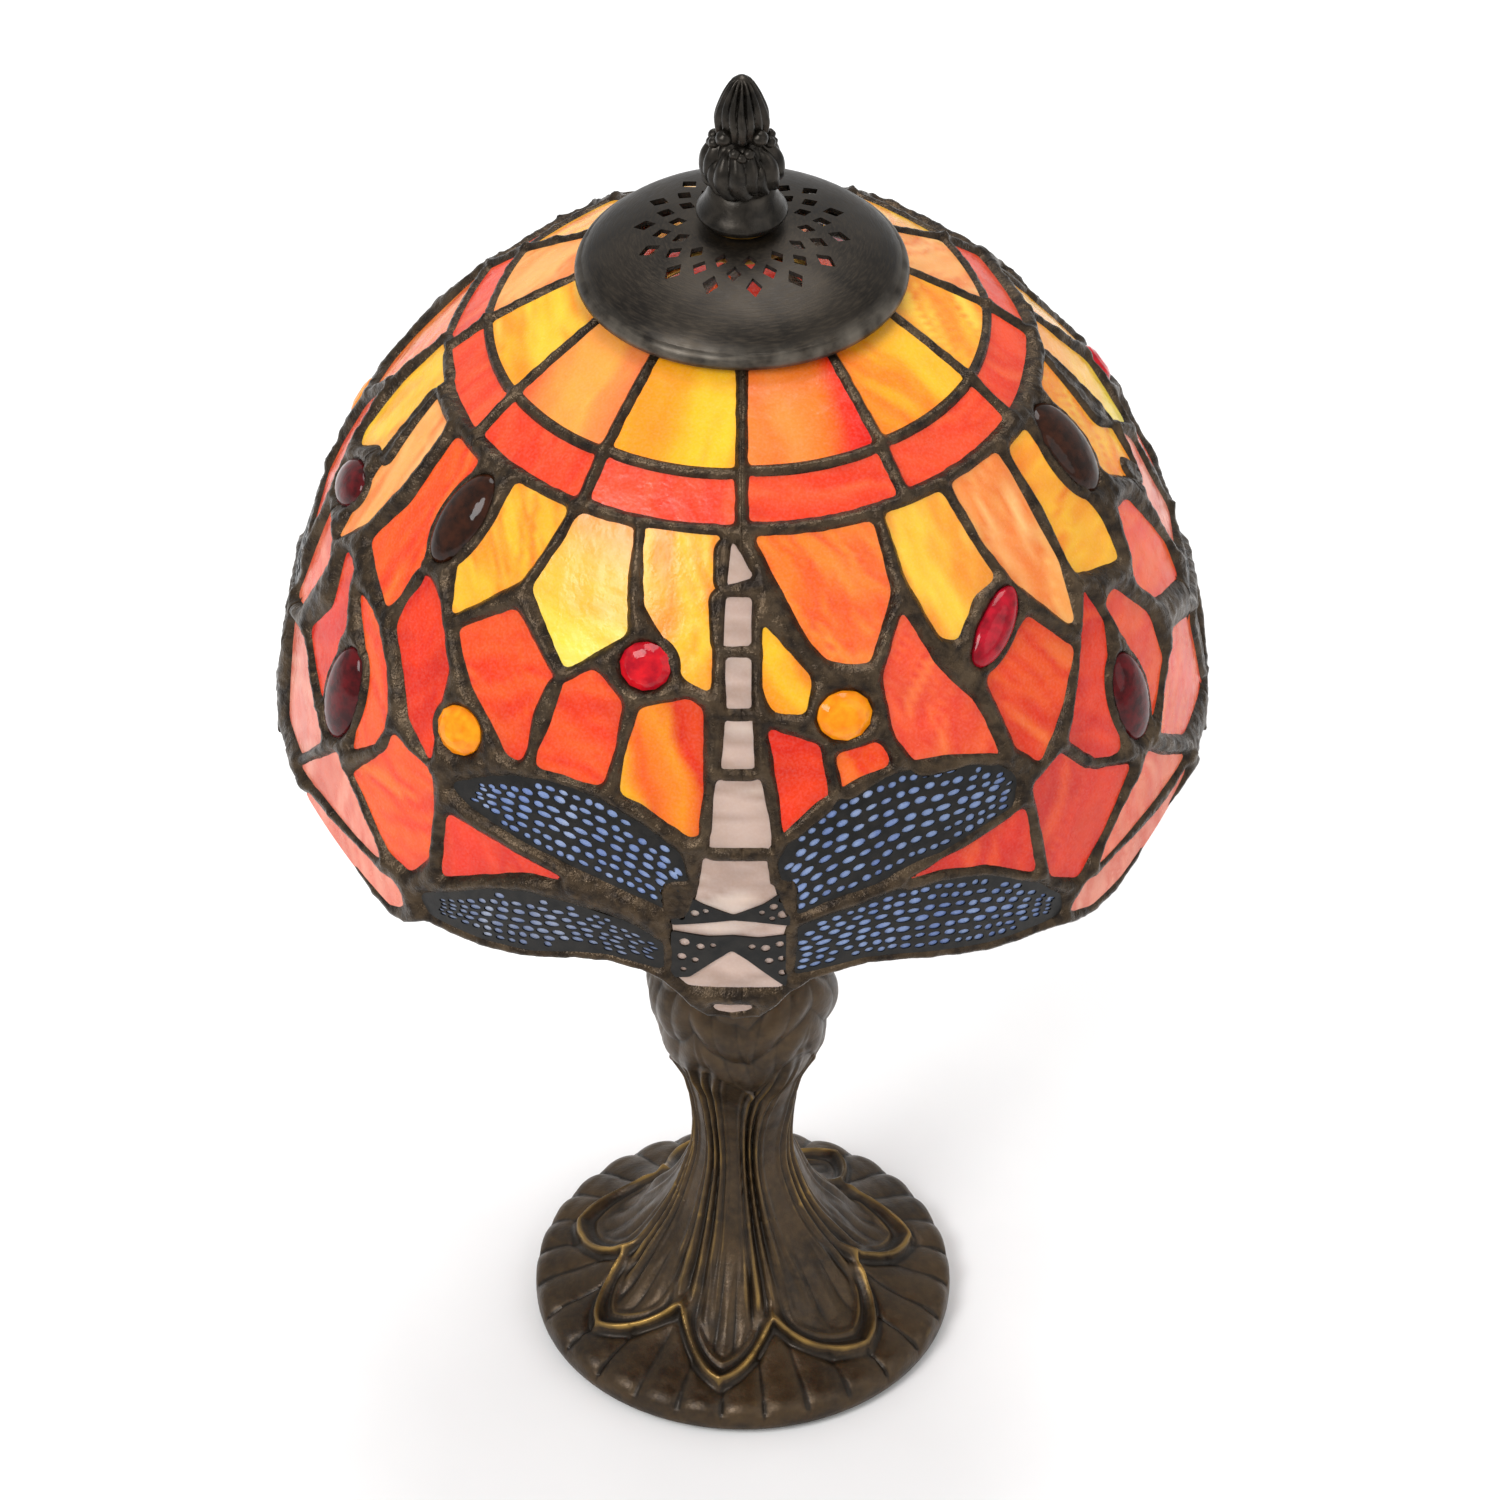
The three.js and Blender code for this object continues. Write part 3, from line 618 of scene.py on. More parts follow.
# Pieces beside the front dragonfly: name, palette, direction of the colours, outline.
FIELD = [
    ("honey_by_tail", "honey", 10, [
        (-18.4, 51.7), (-15.6, 43.5), (-11, 40), (-8.3, 36.7), (-4.5, 35.6), (-4.6, 44), (-4, 51.9)]),
    ("sunrise_left", "sunrise", 90, [
        (-31.4, 51.3), (-34.8, 42), (-26, 35.4), (-17.8, 40.4), (-19.6, 46), (-20.2, 51.4)]),
    ("amber_left", "amber", 40, [
        (-47, 51.2), (-47, 45), (-49.5, 40.4), (-46.4, 35.6), (-37.4, 42.3), (-34.6, 48), (-34.2, 51.3)]),
    ("coral_left", "coral", 120, [
        (-44.5, 34.6), (-36.2, 39.4), (-27.4, 34), (-28.2, 29), (-29.7, 24.6), (-31.6, 24.8), (-35.3, 27.4),
        (-39.5, 29.9)]),
    ("coral_by_red_jewel", "coral", 80, [
        (-26.6, 33.2), (-21.6, 36.2), (-16.8, 33.3), (-17.2, 28), (-18.2, 24.5), (-27.4, 24.7),
        (-27.8, 29.6)]),
    ("striped_by_tail", "striped", 20, [
        (-14, 33.2), (-7.4, 34.6), (-5.5, 33.8), (-5.1, 26), (-5.2, 20.8), (-6.4, 20.4), (-12.8, 23.4),
        (-15.6, 24), (-15.5, 28)]),
    ("red_far_left", "red", 150, [
        (-55.1, 36.7), (-53.3, 37.3), (-49.5, 35.8), (-44, 30), (-43.7, 25.4), (-42.8, 20.4), (-48.3, 23.1),
        (-50.8, 26.3), (-55.8, 30.6)]),
    ("tangerine_left", "tangerine", 5, [
        (-66, 50.4), (-57, 50.4), (-58.2, 46), (-58, 41), (-55.8, 36.5), (-58.5, 31.4), (-69, 34.7),
        (-65.8, 41.5)]),
    ("crescent_left", "tangerine", 60, [
        (-65.4, 29.8), (-60, 29.6), (-55, 26.4), (-51.8, 21.5), (-52.2, 18.4), (-57, 15.2), (-57.2, 20),
        (-60, 25.6)]),
    ("tangerine_by_wingtip", "tangerine", 100, [
        (-50.1, 20.4), (-42.4, 19.2), (-41.2, 15.4), (-41.1, 9.8), (-43.9, 6.8), (-47.8, 7.3),
        (-56.2, 12.7), (-52, 16.7)]),
    ("wedge_left", "red", 20, [
        (-38.9, 15.8), (-36.2, 15.6), (-29, 14.6), (-22, 13.6), (-27, 13.1), (-32.8, 11), (-38.7, 8.6)]),
    ("pink_left_upper", "pink", 160, [
        (-62, 11.7), (-60, 13.3), (-54.5, 10.4), (-48.9, 6.2), (-50.3, 5.7), (-62, 5.7), (-69.5, 6)]),
    ("pink_left_rim", "pink", 10, [
        (-64, 4.8), (-45.8, 4.2), (-44.7, 2.2), (-47.4, 0.9), (-55, 1.9), (-63, 3.4), (-67, 4.2)]),
    ("red_edge_left", "red", 140, [
        (-73.5, 31), (-69.5, 31), (-65.8, 26), (-66, 16.4), (-75, 20), (-71, 25)]),
    ("pink_edge_left", "pink", 120, [
        (-82, 17), (-75, 18.3), (-66, 14.2), (-63.6, 13), (-70, 7), (-77, 7.4)]),
    ("pink_high_left", "salmon", 100, [
        (-85, 30.5), (-76.4, 29), (-79, 23), (-80, 20), (-84, 18.8)]),
    ("amber_edge_left", "peach", 5, [
        (-80.5, 50), (-70, 50), (-69.7, 43), (-72, 36), (-77, 30.6), (-79, 39)]),
    ("amber_by_tail", "orange", 30, [
        (2.4, 51.7), (10.1, 40.8), (12.8, 38.2), (18.8, 37.2), (20.5, 39.2), (24.6, 43.8), (25, 51.5)]),
    ("amber_slip_by_tail", "gold", 30, [
        (3.4, 42.5), (10, 36.6), (8.8, 33), (4.3, 33.5), (3.1, 35.8)]),
    ("coral_by_tail", "red", 70, [
        (3.6, 31.8), (10.4, 29.6), (11, 23.9), (5.3, 20.6), (4.9, 25)]),
    ("red_slip", "tangerine", 20, [(12.6, 28.5), (18.4, 29), (19.7, 26.7), (13.2, 24.5)]),
    ("coral_right", "coral", 150, [
        (25.5, 41.5), (20.5, 35.4), (20.9, 29.2), (23.8, 25.4), (31.3, 25), (34.9, 23.7), (33.4, 29.6),
        (28.8, 35)]),
    ("yellow_right", "yellow", 170, [
        (27.8, 51.8), (40.6, 51.8), (41.6, 46), (43, 41), (38, 40.3), (33, 36.9), (30.5, 37.7),
        (28, 44.6)]),
    ("peach_right", "peach", 175, [
        (43.3, 52), (57, 51.8), (57, 43.8), (55.8, 38), (53.4, 32.3), (52.2, 32.3), (46.5, 39.2),
        (44, 45)]),
    ("salmon_right", "coral", 35, [
        (35.7, 31.7), (45.7, 35.6), (51.6, 29.6), (46, 24.5), (40.9, 21), (37.8, 23.8), (36.8, 27.9)]),
    ("red_right", "red", 60, [
        (57.4, 34), (59.1, 29.4), (56.3, 23.3), (54.9, 16.2), (50.5, 17.2), (46.1, 21.3), (51.1, 26.7)]),
    ("amber_far_right", "amber", 100, [
        (59.6, 51), (67.3, 51), (66.6, 46), (69.8, 38), (68, 32.9), (57.7, 36), (58.2, 43)]),
    ("leaf_right", "coral", 110, [
        (60.5, 31), (64, 31.1), (69.6, 25), (69.3, 19.4), (62.8, 15.8), (63.4, 22), (61.4, 28)]),
    ("tangerine_edge_right", "tangerine", 70, [
        (69.2, 29.4), (74, 36), (79, 35), (83.8, 26), (83, 22), (73, 25.2)]),
    ("red_by_wingtip", "red", 140, [
        (39, 19), (44.3, 20.6), (48, 17.1), (56.1, 13.8), (50, 9.2), (44.5, 5.8), (40.1, 8)]),
    ("wedge_right", "red", 160, [
        (20, 13.6), (24.7, 14.8), (31, 16.2), (37.3, 17.1), (37.8, 9.5), (30.5, 12.9), (24.7, 13.7)]),
    ("pink_right_upper", "salmon", 20, [
        (47.8, 5.9), (53, 9.6), (60.3, 13.1), (64, 10.4), (70, 7), (62, 6)]),
    ("pink_right_rim", "pink", 170, [
        (42.6, 2.7), (45, 4.4), (62, 5.2), (70, 5.6), (66, 4.4), (62, 3.4), (53, 1.5), (47.2, 1.2)]),
    ("salmon_edge_right", "tangerine", 120, [
        (63.2, 14), (69, 18), (74, 20.3), (84, 16.4), (84.6, 8), (72, 8.4)]),
    ("honey_edge_right", "amber", 140, [
        (79.6, 51), (91, 51), (91, 40), (86.4, 33.5), (77.4, 39.6), (79.8, 44.5)]),
    ("pink_high_right", "pink", 90, [
        (84.8, 36.4), (87.6, 32.6), (91.8, 37.6), (94.6, 34), (94.8, 27), (93.6, 24.2), (86.2, 23.6),
        (84.9, 29)]),
]

# Jewels: name, finish, faceted or not, centre, half width and half height in mm, tilt in degrees.
JEWEL_SPOTS = [
    ("red_round", "red", True, (-14.1, 37.5), 4.9, 4.5, 0),
    ("orange_round_left", "orange", True, (-39.5, 25.0), 5.3, 4.7, 0),
    ("orange_round_right", "orange", True, (14.2, 32.4), 5.3, 4.7, 0),
    ("crimson_oval", "crimson", False, (39.7, 36.4), 8.8, 3.4, 38),
    ("brown_oval_left", "brown", False, (-53.2, 44.6), 4.9, 10.4, -6),
    ("brown_oval_right", "brown", False, (73.4, 45.5), 6.3, 10.6, -3),
    ("wine_oval_left", "wine", False, (-61.6, 19.6), 5.6, 10.6, -3),
    ("wine_oval_right", "wine", False, (59.3, 20.4), 5.2, 10.0, 2),
    ("wine_oval_far_left", "wine", False, (-83.4, 34.6), 7.4, 4.6, 25),
]

# The dragonfly: body pieces from the tail down, then its four wings and the plates of its head.
BODY = [
    ("tail_tip", [(-3, 50.3), (-1.5, 51), (1.9, 47.5), (-2.9, 46.7)]),
    ("tail_upper", [(-3.6, 45.2), (1.4, 45.2), (1.3, 40.4), (-3, 40.4)]),
    ("tail_middle", [(-2.3, 39), (1.3, 39), (1.2, 33.8), (-2, 33.8)]),
    ("tail_lower", [(-2.1, 32.7), (1.3, 32.7), (1.6, 27.6), (-2.5, 27.6)]),
    ("abdomen", [(-3.1, 26.5), (2.4, 26.5), (3.4, 22), (3.5, 19.1), (-3.8, 19.1), (-3.9, 22)]),
    ("thorax", [(-4.7, 18.2), (3, 18.2), (3.3, 15.2), (5.4, 14.8), (5.4, 9), (4.8, 3.4), (-6.4, 3.5),
                (-8, 5), (-8.4, 14.4), (-5, 14.8)]),
    ("chin", [(-3.4, 1.1), (1.3, 1), (0.7, 0.5), (-1, 0.3), (-2.9, 0.55)]),
]
WINGS = [
    ("upper_left", "wing", [
        (-38.7, 19.2), (-34, 21.4), (-30, 22.8), (-24, 23.5), (-18.3, 22.9), (-12, 20.8), (-7.6, 18.3),
        (-6.6, 15), (-7.6, 12), (-12, 13.5), (-16.2, 14.6), (-20.3, 15.4), (-28.7, 16.8), (-35.3, 18)]),
    # this wing takes the greyer wing palette, which is painted shade
    ("lower_left", "wing in painted shade", [
        (-41.8, 4.9), (-36.2, 7.4), (-32, 9.4), (-26.6, 10.7), (-20.3, 10.8), (-13.7, 10), (-9.4, 8.2),
        (-9.4, 5.4), (-12, 5.9), (-16, 6.4), (-20, 5.9), (-26, 4.4), (-33, 3.6), (-40.3, 3.4)]),
    ("upper_right", "wing", [
        (4.6, 17.6), (6, 19.8), (10.5, 22.9), (15.9, 24.7), (20.9, 25.3), (27.2, 24.7), (33.8, 23.1),
        (36.6, 20.8), (35.5, 18), (28, 16.5), (21.3, 15.9), (16.3, 14.4), (10.5, 13.4), (6.5, 12),
        (5.6, 14.4)]),
    ("lower_right", "wing", [
        (6.4, 10.2), (10.5, 11.2), (18.8, 12.8), (24.7, 12.7), (31.3, 11.2), (38, 7.8), (41.4, 4.8),
        (41.4, 3), (31.3, 3.8), (24.7, 4.9), (18.8, 5.9), (14.7, 6.3), (9.7, 5.7), (6.2, 5)]),
]
HEAD_PLATES = [
    ("collar_plate", [
        (-8.4, 14.9), (-4.8, 13.2), (-1, 12), (2.6, 13.2), (5.8, 15), (5.8, 10.7), (1.5, 11.3), (-1, 11.5),
        (-3.5, 11.2), (-8.4, 10.6)],
     [(-6.9, 13.2, 0.62), (-7.2, 11.6, 0.42), (-5.6, 12.1, 0.5), (-4.3, 12.4, 0.36), (2.4, 12.3, 0.36),
      (3.8, 12.9, 0.5), (4.8, 13.7, 0.42), (4.9, 12, 0.62), (3.6, 11.6, 0.36)]),
    ("face_plate", [
        (-8.4, 9.9), (-4, 9.5), (-1, 9.7), (2, 9.4), (5.8, 9.7), (5.8, 3), (3.6, 4.6), (0.6, 6.9),
        (-1.2, 8), (-3.4, 6.6), (-6.2, 4.6), (-8.4, 4.4)],
     [(-6.8, 8.7, 0.62), (-4.9, 8.3, 0.5), (-3.4, 8.5, 0.36), (-7.1, 7, 0.55), (-5.5, 6.7, 0.42),
      (-6.9, 5.5, 0.36), (1.2, 8.4, 0.42), (2.8, 8.2, 0.55), (4.5, 8.6, 0.5), (3.2, 6.7, 0.5),
      (4.7, 6.9, 0.45), (4.8, 5.2, 0.5)]),
]

# Lower edge of the shade along one repeat, lowest where the pink rim pieces hang.
RIM = [
    (-82, 4.6), (-74, 4.9), (-66, 3.8), (-60, 2.7), (-55, 1.2), (-50.5, 0.2), (-47, -0.2), (-44, 0.5),
    (-41, 1.9), (-33, 2.2), (-26, 3.1), (-20, 4.6), (-16, 5.1), (-12, 4.7), (-9.4, 3.9), (-7.6, 2.4),
    (-6, 0.9), (-4, -0.3), (-1, -0.8), (2, -0.4), (4, 1), (5.6, 2.6), (8, 3.9), (12, 4.7), (15, 5),
    (19, 4.6), (25, 3.5), (31, 2.4), (38, 1.8), (42, 1.3), (45, 0.5), (47.5, 0.1), (52, 0.4), (57, 1.5),
    (60, 2.7), (66, 3.7), (74, 4.6), (82, 4.6),
]
REPEAT_SHIFTS = {"front": 0, "back_right": 123, "back_left": -122}
REPEAT_SPACING = 120
RIM_REACH = 82  # azimuth from a repeat's middle where its rim line ends
SEAM_BEHIND = 180.6  # azimuth where the two back repeats meet
RIGHT_START, LEFT_START = 90, -86  # azimuths where the back repeats take over from the front
# Where a back repeat's panes are cut at the seam, the side that is kept (1 is below, -1 above)
# and the azimuth its panes start from.
PANE_CUTS = {
    "back_right": (SEAM_BEHIND - 0.4, 1, RIGHT_START),
    "back_left": (SEAM_BEHIND - 360 + 1.2, -1, LEFT_START),
}
SMALLEST_PART = 0.25  # share of a cut pane that has to be left for it to be kept
RIBS = [-149, -120, -91, -62, -32, 0, 33, 66, 95, 124, 153, 182]
CROWN_PALETTES = [
    ("amber", 80), ("peach", 60), ("yellow", 90), ("ember", 20), ("gold", 5), ("flame", 0),
    ("amber fire", 10), ("amber", 120), ("peach", 30), ("yellow", 60), ("orange", 100), ("amber", 120),
]


def rim_height(azimuth):
    """Height angle of the shade's lower edge."""
    wrapped = (np.asarray(azimuth, float) + 180) % 360 - 180
    nearest = np.where(wrapped > RIM_REACH, wrapped - REPEAT_SHIFTS["back_right"], wrapped)
    nearest = np.where(wrapped < -RIM_REACH, wrapped - REPEAT_SHIFTS["back_left"], nearest)
    xs, ys = np.array(RIM).T
    return np.interp(nearest, xs, ys)


def rib_line(rib, height):
    """Azimuth of a rib at a height angle: the side ribs lean out towards the top."""
    t = (height - BAND_BOTTOM) / (CROWN_TOP - BAND_BOTTOM)
    return rib + 3.0 * t * t * math.sin(rib * RADIAN)


def ring_pane(left, right, low, high, half_lead):
    """Outline of a pane between two ribs."""
    outline = []
    corners = [(left, low, 1), (left, (low + high) / 2, 1), (left, high, 1)]
    corners += [(None, high, t) for t in (0.25, 0.5, 0.75)]
    corners += [(right, high, -1), (right, (low + high) / 2, -1), (right, low, -1)]
    corners += [(None, low, t) for t in (0.75, 0.5, 0.25)]
    for rib, height, side in corners:
        if rib is None:
            start, end = rib_line(left, height), rib_line(right, height)
            outline.append((start + (end - start) * side, height))
        else:
            outline.append((rib_line(rib, height) + side * half_lead / per_degree(height)[0], height))
    return outline


class Piece:
    """One piece of glass: its outline in a flat frame and how it departs from the dome."""

    def __init__(
        self, name, outline, node, palette=None, direction=0, flatness=0.6, corner=1.6, kind="glass",
    ):
        self.name, self.node, self.kind = name, node, kind
        self.palette, self.direction = palette, direction
        self.patch = Patch(outline)
        self.flatness = flatness
        self.outline = divided(rounded(self.patch.flat(outline), corner), 2.5)
        self.fit_plane()

    def fit_plane(self):
        places = self.patch.places(self.outline)
        points = on_dome(places[:, 0], places[:, 1], 0)
        self.centre = points.mean(axis=0)
        self.normal = np.linalg.svd(points - self.centre)[2][2]
        if self.normal @ (self.centre - [0, 0, DOME_SPRING_Z]) < 0:
            self.normal = -self.normal

    def sag(self, places):
        """Offset of the glass face from the dome, for a piece cut from nearly flat glass."""
        if not self.flatness:
            return np.zeros(len(places))
        points = on_dome(places[:, 0], places[:, 1], 0)
        offset = -(points - self.centre) @ self.normal
        return np.clip(self.flatness * offset, -2.4, 1.0)

    def colours(self, places, points):
        """Streaky colour at each point."""
        shades, evenness = PALETTES[self.palette]
        flat = self.patch.flat(places)
        a = self.direction * RADIAN
        across = flat @ [math.cos(a), math.sin(a)]
        along = flat @ [-math.sin(a), math.cos(a)]
        sweep = (across - across.min()) / max(np.ptp(across), 1e-6)
        seed = rng.uniform(0, 200)
        warp = fbm(np.stack([across, along, across * 0], -1), 16, 2, seed + 50)
        streak_at = np.stack([across + 3 * warp, along * 0.16, across * 0], -1)
        streak = 0.5 + 0.85 * fbm(streak_at, 5.5, 3, seed)
        t = np.clip(evenness * (sweep + 0.08 * warp) + (1 - evenness) * streak, 0, 1)
        stops = np.linspace(0, 1, len(shades))
        table = np.array([linear(c) for c in shades])
        colour = np.stack([np.interp(t, stops, table[:, k]) for k in range(3)], -1)
        colour = colour ** GLASS_DEPTH
        tone = 0.86 + 0.1 * fbm(points, 9, 2, seed + 9)
        return np.concatenate([np.clip(colour * tone[:, None], 0, 1), np.ones((len(colour), 1))], 1)


def field_node(azimuth, is_dragonfly=False):
    """The plain node that stands for the glass at an azimuth."""
    wrapped = (azimuth + 180) % 360 - 180
    repeat = int(np.clip(round(wrapped / REPEAT_SPACING), -1, 1))
    if is_dragonfly:
        return f"dragonfly_glass_{repeat + 2}"
    side = "right" if wrapped > repeat * REPEAT_SPACING else "left"
    return f"field_glass_{repeat + 2}_{side}"


def kept_in_repeat(repeat, middle):
    """Whether a jewel with that middle belongs to the repeat."""
    wrapped = middle % 360
    if repeat == "front":
        return True
    if repeat == "back_right":
        return RIGHT_START < wrapped < SEAM_BEHIND
    return SEAM_BEHIND <= wrapped < LEFT_START + 360


def cut_beyond(outline, limit, side):
    """The part of an outline below an azimuth, or above it where `side` is -1."""
    kept = []
    for (x1, y1), (x2, y2) in zip(outline, outline[1:] + outline[:1]):
        first, second = side * (limit - x1), side * (limit - x2)
        if first >= 0:
            kept.append((x1, y1))
        if first * second < 0:
            t = first / (first - second)
            kept.append((x1 + (x2 - x1) * t, y1 + (y2 - y1) * t))
    return kept


def part_in_repeat(repeat, outline):
    """The part of a copied pane that belongs to its repeat, or nothing if little of it does."""
    if repeat == "front":
        return outline
    limit, side, start = PANE_CUTS[repeat]
    part = cut_beyond(outline, limit, side)
    middle = np.mean([x for x, _ in outline])
    if side * (middle - start) <= 0 or len(part) < 3:
        return []
    whole_area, part_area = (abs(signed_area(np.array(loop))) for loop in (outline, part))
    return part if part_area > SMALLEST_PART * whole_area else []


def turned_flat(x, y, degrees):
    """Flat points turned about their origin."""
    c, s = math.cos(degrees * RADIAN), math.sin(degrees * RADIAN)
    return np.stack([x * c - y * s, x * s + y * c], -1)


def oval_outline(centre, half_width, half_height, tilt, count=28):
    """A jewel's outline as places on the shade."""
    across, up = per_degree(centre[1])
    a = np.linspace(0, 2 * math.pi, count, endpoint=False)
    flat = turned_flat(half_width * np.cos(a), half_height * np.sin(a), tilt)
    return [(centre[0] + x / across, centre[1] + y / up) for x, y in flat]


def all_pieces():
    """Every piece of glass and jewel on the shade."""
    pieces = []
    for i, rib in enumerate(RIBS):
        following = RIBS[i + 1] if i + 1 < len(RIBS) else RIBS[0] + 360
        palette, direction = CROWN_PALETTES[i]
        number = f"{i + 1:02d}"
        tilt = 0.6 * math.sin((rib + following) / 2 * RADIAN)
        crown = ring_pane(rib, following, BAND_TOP + tilt + 0.6, CROWN_TOP, 1.5)
        node = f"crown_pane_{number}"
        pieces.append(Piece(f"crown_glass_{number}", crown, node, palette, direction, 0.7, 1.2))
        band = ring_pane(rib, following, BAND_BOTTOM + tilt + 0.6, BAND_TOP + tilt - 0.7, 1.7)
        streaks = rng.choice((0, 8, 80))
        node = f"band_pane_{number}"
        pieces.append(Piece(f"band_glass_{number}", band, node, "band", streaks, 0.7, 0.8))
    for repeat, shift in REPEAT_SHIFTS.items():
        for name, palette, direction, outline in FIELD:
            moved = part_in_repeat(repeat, [(x + shift, y) for x, y in outline])
            if moved:
                node = field_node(np.mean([x for x, _ in moved]))
                pieces.append(Piece(f"{repeat}_{name}", moved, node, palette, direction))
        for name, outline in BODY:
            moved = [(x + shift, y) for x, y in outline]
            node = field_node(shift, True)
            pieces.append(Piece(f"{repeat}_{name}", moved, node, "shell", 90, 0, 0.9, "body"))
        for name, palette, outline in WINGS:
            moved = [(x + shift, y) for x, y in outline]
            node = field_node(shift, True)
            pieces.append(Piece(f"{repeat}_{name}_wing", moved, node, palette, 0, 0, 1.6, "wing"))
        for name, finish, faceted, centre, wide, high, tilt in JEWEL_SPOTS:
            middle = centre[0] + shift
            if kept_in_repeat(repeat, middle):
                outline = oval_outline((middle, centre[1]), wide, high, tilt)
                made = Piece(f"{repeat}_{name}", outline, field_node(middle), None, tilt, 0, 0.5, "jewel")
                made.finish, made.faceted, made.half = finish, faceted, (wide, high)
                pieces.append(made)
    return pieces


# ---- Shade ----------------------------------------------------------------------------------
JEWEL_LAP = 0.8  # how far a jewel reaches under its lead
CABOCHON_RISE = 2.8
WING_HOLE_ROWS = 7
NARROWEST_HOLE = 0.34  # half width
GLASS_KINDS = {"wing": (WING_GLASS, "dragonfly_glass"), "body": (BODY_GLASS, "dragonfly_glass")}


def build_glass(piece):
    """A slab of glass, its edge tucked under the lead."""
    flat, triangles = filled(grown(piece.outline, LEAD_LAP * 0.8), 1.5)
    places = piece.patch.places(flat)
    face = piece.sag(places)
    ripple = 0.05 * fbm(np.concatenate([flat, flat[:, :1] * 0], 1), 9, 2, piece.patch.azimuth)
    top = on_dome(places[:, 0], places[:, 1], face + ripple)
    bottom = on_dome(places[:, 0], places[:, 1], face + ripple - GLASS_THICKNESS)
    vertices, faces, used = thick_sheet(top, bottom, triangles)
    colour = piece.colours(places, top)[used]
    material, slot = GLASS_KINDS.get(piece.kind, (GLASS, glass_slot(piece.node)))
    both_faces = {"glass": np.concatenate([colour, colour])}
    placed(mesh_object(piece.name, vertices, faces, material, 30, both_faces), "shade", slot, piece.node)


def glass_slot(node):
    if node.startswith("crown"):
        return "amber_glass"
    if node.startswith("band"):
        return "red_glass"
    return "field_glass"


def build_jewel(piece):
    """A cabochon or a faceted round, set in the lead."""
    wide, high = (half + JEWEL_LAP for half in piece.half)
    if piece.faceted:
        rings, lift, sides = [1.0, 0.96, 0.68, 0.4], [-0.4, 0.7, 1.9, 2.3], 12
    else:
        climb = np.linspace(0, 0.97, 14) * math.pi / 2
        rings, lift, sides = np.cos(climb), CABOCHON_RISE * np.sin(climb) + 0.1, 48
    a = np.linspace(0, 2 * math.pi, sides, endpoint=False)
    vertices, faces = [], []
    levels = [(rings[0], -GLASS_THICKNESS + 0.2), *zip(rings, lift)]
    for k, (scale, offset) in enumerate(levels):
        twist = math.pi / sides * (k % 2) if piece.faceted else 0
        x, y = wide * scale * np.cos(a + twist), high * scale * np.sin(a + twist)
        places = piece.patch.places(turned_flat(x, y, piece.direction))
        vertices.append(on_dome(places[:, 0], places[:, 1], offset))
    ring = np.arange(len(levels) * sides).reshape(len(levels), sides)
    for k in range(len(levels) - 1):
        low, up = ring[k], ring[k + 1]
        low_next, up_next = np.roll(low, -1), np.roll(up, -1)
        if piece.faceted and k > 0:
            odd = k % 2
            first = (low, low_next, up) if odd == 0 else (low, low_next, up_next)
            second = (low_next, up_next, up) if odd == 0 else (low, up_next, up)
            faces += np.stack(first, -1).tolist() + np.stack(second, -1).tolist()
        else:
            faces += np.stack([low, low_next, up_next, up], -1).tolist()
    faces += [ring[0][::-1].tolist(), ring[-1].tolist()]
    angle = 12 if piece.faceted else 60
    obj = mesh_object(piece.name, np.concatenate(vertices), faces, JEWELS[piece.finish], angle)
    placed(obj, "shade", "field_glass", piece.node)


def plate(name, outline, holes, patch, node, low, high, spacing=2.0):
    """A thin pierced plate lying on the glass, between two offsets."""
    flat, triangles = filled(outline, spacing, holes)
    places = patch.places(flat)
    top = on_dome(places[:, 0], places[:, 1], high)
    bottom = on_dome(places[:, 0], places[:, 1], low)
    vertices, faces, _ = thick_sheet(top, bottom, triangles)
    placed(mesh_object(name, vertices, faces, FILIGREE, 35), "shade", "patinated_lead", node)


